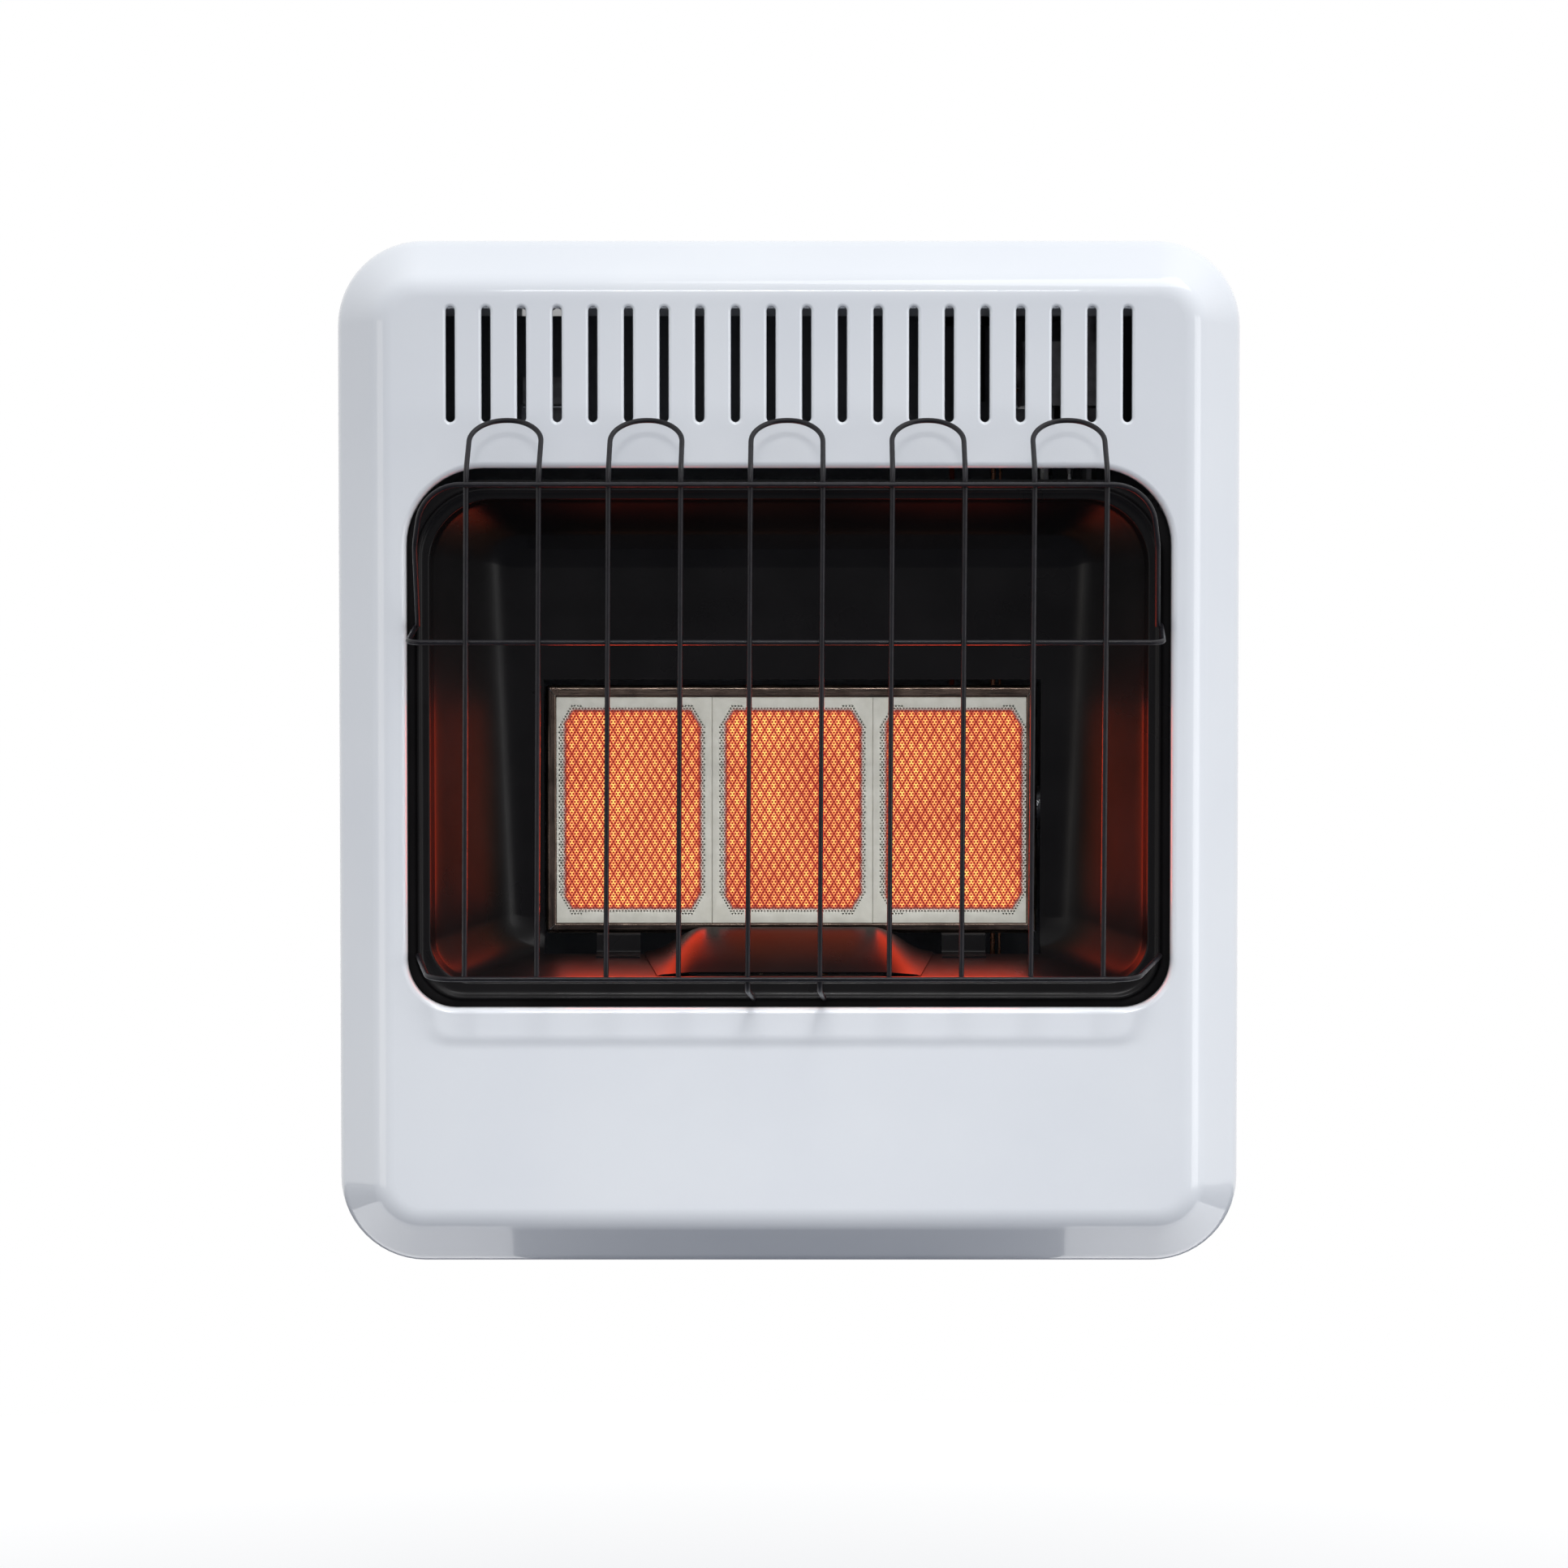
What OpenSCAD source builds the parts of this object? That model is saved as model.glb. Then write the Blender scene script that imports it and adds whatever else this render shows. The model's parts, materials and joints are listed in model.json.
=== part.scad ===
// Wall-mounted infrared gas heater with three ceramic burner plaques.
// X is to the right, the front faces -Y, Z is up. The wall is the plane Y = 0, and the
// origin is on it, midway between the two screws of the wall bracket.

/* [Cabinet] */
// Width of the front cover
cabinet_w = 508; // [480:2:620]
// Height of the front cover
cabinet_h = 576; // [560:2:700]
// Distance from the wall to the face of the cover
cabinet_d = 185; // [175:1:230]
// Corner radius of the cover, seen from the front
corner_r = 48; // [42:1:60]
// Width of the bevel around the face, seen from the front
bevel_w = 26; // [20:1:30]
// Depth of the bevel
bevel_d = 30; // [20:1:36]
// Depth of the straight skirt behind the bevel
skirt_d = 45; // [30:1:50]
// Thickness of the cabinet sheet
sheet_t = 1; // [0.8:0.1:1.4]
// Gap between the cover's skirt and the rear casing
casing_gap = 0.6; // [0.4:0.1:1]

/* [Window] */
// Width of the cover beside the window
window_side = 41; // [36:1:48]
// Height of the window's lower edge above the bottom of the cover
window_low = 146.4; // [130:0.2:170]
// Distance from the window's top edge to the top of the cover
window_drop = 128.8; // [126:0.2:150]
// Corner radius at the top of the window
window_top_r = 43; // [36:1:48]
// Corner radius at the bottom of the window
window_low_r = 27; // [22:1:32]
// Radius of the rolled edge of the window
lip_r = 6; // [4:0.5:8]

/* [Louvres] */
// Number of louvre slots
slot_count = 20; // [10:1:21]
// Distance between neighbouring slots
slot_pitch = 19.8; // [12:0.1:20]
// Clear width of a slot
slot_w = 5; // [4:0.1:7]
// Length of a slot
slot_len = 64; // [50:1:68]
// Distance from the middle of the slots to the top of the cover
slot_drop = 71.3; // [68:0.1:74]

/* [Firebox] */
// Depth of the pan's flange behind the face of the cover
flange_back = 12; // [10:0.5:16]
// Width of the flange that shows in the window
flange_w = 12; // [10:0.5:16]
// Gap between the top of the pan and the top of the window
top_gap = 6; // [4:0.5:10]
// Depth of the pan from its flange to its back
pan_d = 59; // [50:1:70]
// How far the side walls lean in at the top
side_lean = 36; // [24:1:36]
// How much further the side walls lean in at the bottom
side_taper = 9; // [0:1:9]
// How far the top wall leans down
top_lean = 21; // [10:1:30]
// How far the upper back panel leans forward
crown_lean = 14; // [6:1:20]
// Height of the upper, leaning back panel
crown_h = 68; // [50:1:70]
// Thickness of the enamelled sheet
pan_t = 1; // [0.8:0.1:1.2]

/* [Burner] */
// Width of one ceramic plaque
plaque_w = 91.6; // [76:0.2:92]
// Height of one ceramic plaque
plaque_h = 132; // [112:1:134]
// Thickness of a plaque
plaque_t = 13; // [11:0.5:15]
// Gap between neighbouring plaques
plaque_gap = 0.4; // [0.2:0.1:0.6]
// Depth of the plaques' faces behind the face of the cover
plaque_back = 68.6; // [66:0.2:74]
// Height of the plaques' lower edge above the window's lower edge
plaque_rise = 41.6; // [40:0.2:50]
// Distance of the burner from the middle of the window
burner_shift = 2; // [-3:0.5:3]
// Distance between the grooves of the plaques' face
groove_pitch = 13.8; // [9.2:0.2:20]

/* [Guard] */
// Radius of the guard's wire
wire_r = 1.75; // [1.5:0.05:2]
// Distance from the face of the cover to the guard's upright wires
guard_d = 48; // [40:1:56]
// Number of hoops
hoop_count = 5; // [3:1:5]
// Distance between neighbouring hoops
hoop_pitch = 77.4; // [60:0.2:80]
// Distance between the two legs of a hoop
hoop_w = 39.5; // [30:0.5:44]
// Height of the bent-back top of a hoop
hoop_top_h = 34; // [28:1:38]

/* [Controls] */
// Distance from the knob's axis to the right side of the cover
knob_inset = 79; // [76:0.5:84]
// Distance between the knob and the igniter button
control_pitch = 70; // [62:1:74]
// Distance from the wall to the controls
control_back = 70; // [64:1:76]
// Radius of the control knob
knob_r = 19; // [15:0.5:20]
// Height of the control knob
knob_h = 20; // [16:0.5:22]
// Travel of the knob when it is pushed
knob_travel = 4; // [3:0.5:4]
// Radius of the igniter button
button_r = 6.4; // [5:0.1:7]
// Travel of the igniter button
button_travel = 7; // [5:0.5:7]
// Depth of the control recess in the top
well_d = 34; // [32:1:38]

/* [Gas line] */
// Radius of the female thread in the gas inlet
inlet_r = 7.25; // [6:0.05:9]
// Length of that thread
inlet_len = 12; // [10:0.5:14]
// Radius of the gas supply tube
supply_r = 4.75; // [4:0.05:5]
// Radius of the burner tube
burner_tube_r = 4; // [3:0.1:4.5]
// Radius of the pilot tube
pilot_tube_r = 2; // [1.5:0.1:2.5]

/* [Wall bracket] */
// Height of the bracket's screws above the bottom of the cover
hang_h = 500; // [470:1:520]
// Distance between the bracket's two screws
wall_pitch = 203; // [150:1:300]
// Radius of the bracket's screw holes
wall_hole_r = 2.75; // [2:0.05:3.5]
// Distance from the wall to the back panel of the casing
back_gap = 10; // [8:0.5:14]

/* [Hidden] */
$fn = 40;
eps = 0.01;

// Depths, measured from the wall
face_y = -cabinet_d;
rim_y = face_y + bevel_d;
skirt_end_y = rim_y + skirt_d;
casing_front_y = rim_y + 8;
back_y = -back_gap - sheet_t;
flange_y = face_y + flange_back;
pan_back_y = flange_y + pan_d;
plaque_y = face_y + plaque_back;
guard_y = face_y - guard_d;
control_y = -control_back;

// Cabinet
half_w = cabinet_w / 2;
casing_inset = sheet_t + casing_gap;
casing_half = half_w - casing_inset;
casing_r = corner_r - casing_inset;
casing_top = cabinet_h - casing_inset;
inner_half = casing_half - sheet_t;
inner_top = casing_top - sheet_t;

// Window
window_half = half_w - window_side;
window_top = cabinet_h - window_drop;

// Firebox pan: outline of the flange, of the walls at the flange and of the back panel
pan_hidden = 7;
pan_top = window_top - top_gap;
wall_half = window_half - flange_w;
wall_low = window_low + 13.6;
wall_top = pan_top - flange_w + 1;
panel_half_top = wall_half - side_lean;
panel_half_low = panel_half_top - side_taper;
panel_low = wall_low + 16;
panel_top = wall_top - top_lean;
crease_z = panel_top - crown_h;
riser_d = 8;
riser_h = 8;
flange_bead = 2;
bead_out = 4;
bead_in = 8;
wall_low_r = 22;
wall_high_r = 36;

// Burner
burner_x = burner_shift;
burner_low = window_low + plaque_rise;
burner_z = burner_low + plaque_h / 2;
plaque_pitch = plaque_w + plaque_gap;
row_w = 3 * plaque_w + 2 * plaque_gap;
box_t = 0.8;
box_half = row_w / 2 + 0.3 + box_t;
gasket_h = 2.6;
box_low = burner_low - gasket_h - 0.15 - box_t;
box_high = burner_low + plaque_h + gasket_h + 0.15 + box_t;
frame_t = 0.6;
frame_half = box_half + frame_t + 0.05;
frame_low = box_low - frame_t - 0.05;
frame_high = box_high + frame_t + 0.05;
frame_y = plaque_y - 0.1 - frame_t;
ledge_y = plaque_y + plaque_t + 2;
chamber_y = ledge_y + 32;
tube_y = ledge_y + 16;
bell_x = burner_x + box_half + 40;
injector_x = bell_x + 8;
aperture_half = frame_half + 2.5;
aperture_top = frame_high + 4.6;

// Controls
knob_x = half_w - knob_inset;
button_x = knob_x - control_pitch;
well_floor = inner_top - well_d;
well_x0 = button_x - 30;
well_x1 = knob_x + knob_r + 4;
well_half_d = 34;
recess_flange_w = 6;
neck_h = 16;
valve_h = 37;
valve_top = well_floor - neck_h;
valve_low = valve_top - valve_h;
neck_r = 6;
spindle_r = 4;
fit = 0.05;
hub_low = well_floor + knob_travel + 1.6;
knob_top = hub_low + knob_h;

// Gas line
line_top = valve_low - 8;
shield_rear = line_top - 22;
shield_front = shield_rear + 15;
regulator_x = knob_x - 23;
regulator_y = -45;
regulator_z = 75;
regulator_rim_r = 29;
regulator_foot = 36;
gas_way_r = 5;
inlet_mouth = casing_inset + 1;

// ---------------------------------------------------------------- paths and sections

function unit(v) = v / norm(v);
function left_of(v) = [-v[1], v[0]];
function flat(lists) = [for (list = lists) for (item = list) item];
function reversed(list) = [for (i = [len(list) - 1:-1:0]) list[i]];
function lerp(a, b, t) = a + (b - a) * t;

// Vertex b of a line a-b-c, moved to the left by t
function mitred(a, b, c, t) =
    let (n = left_of(unit(b - a)), m = left_of(unit(c - b)))
    b + (n + m) * t / (1 + n * m);

// An open line moved to its left by t
function moved(line, t) =
    let (last = len(line) - 1)
    [for (i = [0:last])
        i == 0 ? line[0] + left_of(unit(line[1] - line[0])) * t
        : i == last ? line[last] + left_of(unit(line[last] - line[last - 1])) * t
        : mitred(line[i - 1], line[i], line[i + 1], t)];

// Corner b of a line a-b-c in two or three dimensions, rounded to radius r by n steps
function rounded_corner(a, b, c, r, n) =
    let (u = unit(a - b), v = unit(c - b), half = acos(max(-1, min(1, u * v))) / 2)
    r < eps || half > 89.5 ? [b]
    : let (centre = b + unit(u + v) * r / sin(half),
           p = unit(b + u * r / tan(half) - centre),
           q = unit(b + v * r / tan(half) - centre),
           sweep = 180 - 2 * half)
      [for (k = [0:n]) centre + r * (p * sin(sweep * (1 - k / n)) + q * sin(sweep * k / n)) / sin(sweep)];

// A line with each inner corner rounded to its own radius
function rounded_line(line, radii, n) =
    let (last = len(line) - 1)
    flat([for (i = [0:last])
        i == 0 || i == last ? [line[i]]
        : rounded_corner(line[i - 1], line[i], line[i + 1], radii[i], n)]);

// Outline of a folded sheet: the line is one face, t its thickness to the left
function folded_points(line, radii, t, n) =
    let (last = len(line) - 1,
         far_radii = [for (i = [0:last])
             i == 0 || i == last || radii[i] < eps ? 0
             : let (u = line[i] - line[i - 1], v = line[i + 1] - line[i])
               max(2 * eps, radii[i] - t * sign(u[0] * v[1] - u[1] * v[0]))])
    concat(rounded_line(line, radii, n), reversed(rounded_line(moved(line, t), far_radii, n)));

module folded(line, radii, t, n = 4) {
    polygon(folded_points(line, radii, t, n));
}

// Rounded rectangle in the front view, from its half width, its heights and its corner radii
module window_shape(half, low, high, low_r, high_r) {
    translate([-half, low + low_r])
        square([2 * half, high - high_r - low - low_r]);
    translate([-half + low_r, low])
        square([2 * (half - low_r), low_r + eps]);
    translate([-half + high_r, high - high_r - eps])
        square([2 * (half - high_r), high_r + eps]);
    for (side = [-1, 1]) {
        translate([side * (half - low_r), low + low_r])
            circle(low_r);
        translate([side * (half - high_r), high - high_r])
            circle(high_r);
    }
}

// Extrudes a front-view shape backwards from depth y
module from_front(y, t) {
    translate([0, y + t, 0])
        rotate([90, 0, 0])
            linear_extrude(t)
                children();
}

// Extrudes a side-view shape (depth, height) along X, centred on x
module across(x, length) {
    translate([x - length / 2, 0, 0])
        rotate([90, 0, 90])
            linear_extrude(length)
                children();
}

// Sweeps a section (outward distance, depth) around a rounded rectangle of the front view
module around(half, low, high, low_r, high_r) {
    for (side = [0, 1])
        mirror([side, 0, 0]) {
            translate([half, 0, low + low_r])
                linear_extrude(high - high_r - low - low_r)
                    children();
            translate([half - low_r, 0, low + low_r])
                rotate([-90, 0, 0])
                    rotate_extrude(angle = 90)
                        translate([low_r, 0])
                            children();
            translate([half - high_r, 0, high - high_r])
                rotate([0, -90, 0])
                    rotate([-90, 0, 0])
                        rotate_extrude(angle = 90)
                            translate([high_r, 0])
                                children();
        }
    translate([half - high_r, 0, high])
        rotate([0, -90, 0])
            linear_extrude(2 * (half - high_r))
                children();
    translate([low_r - half, 0, low])
        rotate([0, 90, 0])
            linear_extrude(2 * (half - low_r))
                children();
}

// Side vectors of a swept path, each turned as little as possible from the one before
function sides_along(dirs, first) =
    [for (i = 0, s = first; i < len(dirs);
          i = i + 1, s = i < len(dirs) ? unit(s - dirs[i] * (s * dirs[i])) : s) s];

// A round wire or tube along a line of points, with one bend radius or one for each point
module tube(points, r, bend, sides = 10, steps = 5) {
    path = rounded_line(points, is_list(bend) ? bend : [for (p = points) bend], steps);
    last = len(path) - 1;
    dirs = [for (i = [0:last]) unit(path[min(last, i + 1)] - path[max(0, i - 1)])];
    start = abs(dirs[0][0]) < 0.9 ? [1, 0, 0] : [0, 1, 0];
    across_dirs = sides_along(dirs, unit(start - dirs[0] * (start * dirs[0])));
    rings = flat([for (i = [0:last])
        let (s = across_dirs[i], w = cross(dirs[i], s))
        [for (k = [0:sides - 1]) path[i] + r * (s * cos(360 * k / sides) + w * sin(360 * k / sides))]]);
    walls = flat([for (i = [0:last - 1]) flat([for (k = [0:sides - 1])
        let (a = i * sides + k, b = i * sides + (k + 1) % sides)
        [[a, a + sides, b + sides], [a, b + sides, b]]])]);
    ends = [[for (k = [0:sides - 1]) k], [for (k = [sides - 1:-1:0]) last * sides + k]];
    polyhedron(rings, concat(walls, ends));
}

module hexagon(flats, h) {
    cylinder(h = h, r = flats / sqrt(3), $fn = 6);
}

// Points the children's Z axis forward, towards -Y
module facing_front() {
    rotate([90, 0, 0])
        children();
}

// Lifts what is drawn from the bottom of the cover to the frame of the wall bracket
module in_frame() {
    translate([0, 0, -hang_h])
        children();
}

// ---------------------------------------------------------------- cabinet

// Sheet-metal screws: radius of the thread, of the hole it is driven into and of the hole it passes through
screw_r = 1.9;
screw_tap_r = 2;
screw_clear_r = 2.2;
pan_screw_r = 1.5;
pan_tap_r = 1.6;
pan_clear_r = 1.7;

// Rolled edge of the cover's front, and the width of flat sheet that belongs to it
cover_roll = 10;
cover_stub = 12;

module cover_edge() {
    line = [[0, skirt_end_y], [0, rim_y], [-bevel_w, face_y], [-bevel_w - cover_stub, face_y]];
    folded(line, [0, cover_roll, cover_roll, 0], -sheet_t);
}

module window_lip() {
    folded([[lip_r + 3, face_y], [0, face_y], [0, face_y + lip_r + 2]], [0, lip_r, 0], -sheet_t);
}

module slot_shape(w, length) {
    square([w, length - w], center = true);
    for (end = [-1, 1])
        translate([0, end * (length - w) / 2])
            circle(w / 2, $fn = 16);
}

module each_slot() {
    for (i = [0:slot_count - 1])
        translate([(i - (slot_count - 1) / 2) * slot_pitch, cabinet_h - slot_drop])
            children();
}

module cover_face() {
    inset = bevel_w + cover_stub - 1;
    grow = lip_r + 2;
    rolled = 0.8;
    difference() {
        union() {
            from_front(face_y, sheet_t)
                difference() {
                    window_shape(half_w - inset, inset, cabinet_h - inset, corner_r - inset, corner_r - inset);
                    window_shape(window_half + grow, window_low - grow, window_top + grow,
                                 window_low_r + grow, window_top_r + grow);
                }
            from_front(face_y + sheet_t / 2, 3)
                each_slot()
                    slot_shape(slot_w + 2 * rolled, slot_len + 2 * rolled);
        }
        from_front(face_y - 1, 8)
            each_slot()
                slot_shape(slot_w, slot_len);
    }
}

cover_screw_x = [-0.32, 0.32] * cabinet_w;
cover_screw_y = (skirt_end_y + casing_front_y) / 2;

module front_cover() {
    color("white")
        in_frame()
            difference() {
                union() {
                    around(half_w, 0, cabinet_h, corner_r, corner_r)
                        cover_edge();
                    around(window_half, window_low, window_top, window_low_r, window_top_r)
                        window_lip();
                    cover_face();
                }
                for (x = cover_screw_x)
                    translate([x, cover_screw_y, -1])
                        cylinder(h = sheet_t + 2, r = screw_clear_r);
            }
}

// Air intakes: slots low in both sides, and slots in the bottom left of the gas connection
side_slots = 7;
side_slot_pitch = 14;
side_slot_low = 90;
side_slot_y = -66;
side_slot = [5, 60];
floor_slots = 12;
floor_slot_pitch = 22;
floor_slot_x = -40;
floor_slot_y = -90;
floor_slot = [6, 44];
gas_hole_r = 17;

module rear_casing() {
    depth = -casing_front_y;
    color("gainsboro")
        in_frame()
            difference() {
                union() {
                    from_front(casing_front_y, depth)
                        difference() {
                            window_shape(casing_half, casing_inset, casing_top, casing_r, casing_r);
                            window_shape(inner_half, casing_inset + sheet_t, inner_top,
                                         casing_r - sheet_t, casing_r - sheet_t);
                        }
                    from_front(back_y, sheet_t)
                        window_shape(casing_half - 0.5, casing_inset + 0.5, casing_top - 0.5,
                                     casing_r - 0.5, casing_r - 0.5);
                }
                for (i = [0:side_slots - 1])
                    translate([-half_w - 1, side_slot_y, side_slot_low + i * side_slot_pitch])
                        rotate([0, 90, 0])
                            linear_extrude(cabinet_w + 2)
                                slot_shape(side_slot[0], side_slot[1]);
                for (i = [0:floor_slots - 1])
                    translate([(i - (floor_slots - 1) / 2) * floor_slot_pitch + floor_slot_x, floor_slot_y, 0])
                        linear_extrude(10)
                            slot_shape(floor_slot[0], floor_slot[1]);
                // opening for the gas connection
                translate([regulator_x, regulator_y, 0])
                    cylinder(h = 12, r = gas_hole_r);
                // opening over the control recess
                translate([well_x0, control_y - well_half_d, casing_top - 20])
                    cube([well_x1 - well_x0, 2 * well_half_d, 40]);
                // hook slots and lower fixing holes in the back panel
                for (x = hook_xs)
                    translate([x - hook_w / 2 - 1, back_y - 1, hook_z + bracket_t + fit - hook_slot_h])
                        cube([hook_w + 2, sheet_t + 2, hook_slot_h]);
                for (x = lower_screw_xs)
                    translate([x, 0, lower_screw_z])
                        facing_front()
                            cylinder(h = 30, r = wall_hole_r);
                for (p = casing_screw_points)
                    translate(p)
                        facing_front()
                            cylinder(h = 30, r = screw_tap_r, center = true);
                for (x = cover_screw_x)
                    translate([x, cover_screw_y, -1])
                        cylinder(h = 10, r = screw_tap_r);
            }
}

// Bracket with two hooks that the casing hangs on
bracket_t = 2;
bracket_h = 40;
bracket_end = 20;
hook_w = 24;
hook_x = 0.72 * wall_pitch;
hook_xs = [-hook_x, hook_x];
hook_z = hang_h - 11;
hook_up = 18;
hook_slot_h = hook_up + 5;

module wall_bracket() {
    reach = back_gap + sheet_t + 1.5 + bracket_t;
    color("silver")
        in_frame()
            union() {
                difference() {
                    translate([-hook_x - bracket_end, -bracket_t, hang_h - bracket_h / 2])
                        cube([2 * (hook_x + bracket_end), bracket_t, bracket_h]);
                    for (side = [-1, 1])
                        translate([side * wall_pitch / 2, 1, hang_h])
                            facing_front()
                                cylinder(h = 6, r = wall_hole_r);
                }
                for (x = hook_xs)
                    across(x, hook_w)
                        folded([[-bracket_t / 2, hook_z], [-reach, hook_z], [-reach, hook_z + hook_up]],
                               [0, 2.5, 0], -bracket_t);
            }
}

lower_screw_xs = [-0.36, 0.36] * cabinet_w;
lower_screw_z = 62;
spacer_r = 8;

module wall_spacers() {
    color("dimgray")
        in_frame()
            for (x = lower_screw_xs)
                translate([x, 0, lower_screw_z])
                    facing_front()
                        difference() {
                            cylinder(h = back_gap, r = spacer_r);
                            translate([0, 0, -1])
                                cylinder(h = back_gap + 2, r = wall_hole_r);
                        }
}

// Points on the back panel where the inner sheets are screwed on
shield_screw_x = 0.3 * cabinet_w;
baffle_x = window_half + 10;
baffle_front_foot = 11;
baffle_rear_foot = 14;
baffle_screw_zs = [110, 400];
casing_screw_points = [
    for (side = [-1, 1]) [side * shield_screw_x, back_y, shield_rear + 8],
    for (side = [-1, 1]) for (z = baffle_screw_zs) [side * (baffle_x - baffle_rear_foot / 2), back_y, z]
];

// Holes of the recess for the valve's neck and the igniter
neck_clear = 0.3;
igniter_clear = 0.2;
recess_flange_d = 8;

module recess_outline(grow) {
    translate([well_x0 - grow, -well_half_d - grow])
        square([well_x1 - well_x0 + 2 * grow, 2 * (well_half_d + grow)]);
}

module control_panel() {
    color("white")
        in_frame()
            translate([0, control_y, 0])
                difference() {
                    union() {
                        translate([well_x0 - recess_flange_w, -well_half_d - recess_flange_d, inner_top - sheet_t])
                            cube([well_x1 - well_x0 + 2 * recess_flange_w,
                                  2 * (well_half_d + recess_flange_d), sheet_t]);
                        translate([0, 0, well_floor - sheet_t])
                            linear_extrude(well_d + sheet_t)
                                recess_outline(sheet_t);
                    }
                    translate([0, 0, well_floor])
                        linear_extrude(well_d + 10)
                            recess_outline(0);
                    translate([knob_x, 0, well_floor - 5])
                        cylinder(h = 10, r = neck_r + neck_clear);
                    translate([button_x, 0, well_floor - 5])
                        cylinder(h = 10, r = igniter_r + igniter_clear);
                }
}

// Tubes and leads that pass down through the heat shield: x, depth and radius
drop_burner = [knob_x - 25, -62];
drop_supply = [knob_x + 1, -46];
drop_pilot = [knob_x - 12, -82];
drop_thermocouple = [knob_x - 55, -50];
drop_ignition = [knob_x - 79, -44];
drop_capillary = [knob_x - 50, -28];
lead_r = 1.5;
capillary_r = 0.8;

module heat_shield() {
    line = [[back_y, shield_rear + 16], [back_y, shield_rear], [casing_front_y + 4, shield_front],
            [casing_front_y + 4, shield_front - 9]];
    drops = [[drop_burner, burner_tube_r], [drop_supply, supply_r], [drop_pilot, pilot_tube_r],
             [drop_thermocouple, lead_r], [drop_ignition, lead_r], [drop_capillary, capillary_r]];
    color("silver")
        in_frame()
            difference() {
                across(0, 2 * (inner_half - 1))
                    folded(line, [0, 2, 2, 0], -sheet_t);
                for (drop = drops)
                    translate([drop[0][0], drop[0][1], shield_rear - 20])
                        cylinder(h = 60, r = drop[1] + 2);
                for (side = [-1, 1])
                    translate([side * shield_screw_x, back_y, shield_rear + 8])
                        facing_front()
                            cylinder(h = 10, r = screw_clear_r, center = true);
            }
}

// ---------------------------------------------------------------- firebox

baffle_low = 60;

module baffle() {
    front_y = flange_y + pan_t;
    difference() {
        translate([0, 0, baffle_low])
            linear_extrude(pan_top - 4 - baffle_low)
                folded([[baffle_x - baffle_front_foot, front_y], [baffle_x, front_y], [baffle_x, back_y],
                        [baffle_x - baffle_rear_foot, back_y]], [0, 2, 2, 0], sheet_t);
        for (z = pan_screw_zs)
            translate([pan_screw_x, front_y, z])
                facing_front()
                    cylinder(h = 10, r = pan_tap_r, center = true);
        for (p = casing_screw_points)
            translate(p)
                facing_front()
                    cylinder(h = 10, r = screw_clear_r, center = true);
    }
}

module right_baffle() {
    color("silver")
        in_frame()
            baffle();
}

module left_baffle() {
    color("silver")
        in_frame()
            mirror([1, 0, 0])
                baffle();
}

// One outline of the pan: arcs at the corners, and a point on each side at the crease
corner_steps = 5;

function corner_arc(x, z, r, from) =
    [for (k = [0:corner_steps]) let (a = from + 90 * k / corner_steps) [x + r * cos(a), z + r * sin(a)]];

function outline(low_half, high_half, low, high, low_r, high_r) =
    let (mid = clamp_between(crease_z, low + low_r + 1, high - high_r - 1),
         mid_half = lerp(low_half, high_half, (mid - low) / (high - low)))
    concat(corner_arc(low_half - low_r, low + low_r, low_r, -90), [[mid_half, mid]],
           corner_arc(high_half - high_r, high - high_r, high_r, 0),
           corner_arc(high_r - high_half, high - high_r, high_r, 90), [[-mid_half, mid]],
           corner_arc(low_r - low_half, low + low_r, low_r, 180));

function clamp_between(v, low, high) = max(low, min(high, v));

// A ring of the pan: its outline at depth y, leaning forward above the crease
function pan_ring(shape, y, lean) =
    [for (p = shape) [p[0], y - lean * max(0, p[1] - crease_z) / (panel_top - crease_z), p[1]]];

// The pan's rings from its hidden edge inwards: flange, bead, walls, riser, rounded corner and back panel.
// grow and back move them from the front face of the sheet to its rear face.
function pan_rings(grow, back) =
    let (f = pan_hidden, g = grow)
    [
        pan_ring(outline(window_half + f, window_half + f, window_low - f, pan_top, window_low_r + f,
                         window_top_r + f), flange_y + back, 0),
        pan_ring(outline(window_half - bead_out, window_half - bead_out, window_low + bead_out - 1,
                         pan_top - bead_out, window_low_r, window_top_r - 2), flange_y + back, 0),
        pan_ring(outline(window_half - 6, window_half - 6, window_low + 5, pan_top - 6, window_low_r - 2,
                         window_top_r - 4), flange_y - flange_bead + back, 0),
        pan_ring(outline(window_half - bead_in, window_half - bead_in, window_low + bead_in - 1,
                         pan_top - bead_in, window_low_r - 3, window_top_r - 6), flange_y + back, 0),
        pan_ring(outline(wall_half + g, wall_half + g, wall_low - g, wall_top + g, wall_low_r + g,
                         wall_high_r + g), flange_y + back, 0),
        pan_ring(outline(wall_half - side_lean * 0.12 + g, wall_half - side_lean * 0.1 + g,
                         wall_low + riser_h - g, wall_top - top_lean * 0.12 + g, wall_low_r - 1 + g,
                         wall_high_r - 2 + g),
                 flange_y + riser_d + back, 0),
        pan_ring(outline(panel_half_low + 5 + g, panel_half_top + 4 + g, panel_low - 2 - g, panel_top + 3 + g,
                         17 + g, 17 + g), pan_back_y - 7 + back, crown_lean),
        pan_ring(outline(panel_half_low + g, panel_half_top + g, panel_low + 1 - g, panel_top + g,
                         14 + g, 12 + g), pan_back_y - 1 + back, crown_lean),
        pan_ring(outline(panel_half_low - 4, panel_half_top - 4, panel_low + 4, panel_top - 4, 12, 10),
                 pan_back_y + back, crown_lean),
        pan_ring(outline(panel_half_low - 8, panel_half_low - 7, panel_low + 14, crease_z - 1, 8, 8),
                 pan_back_y + back, 0)
    ];

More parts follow.
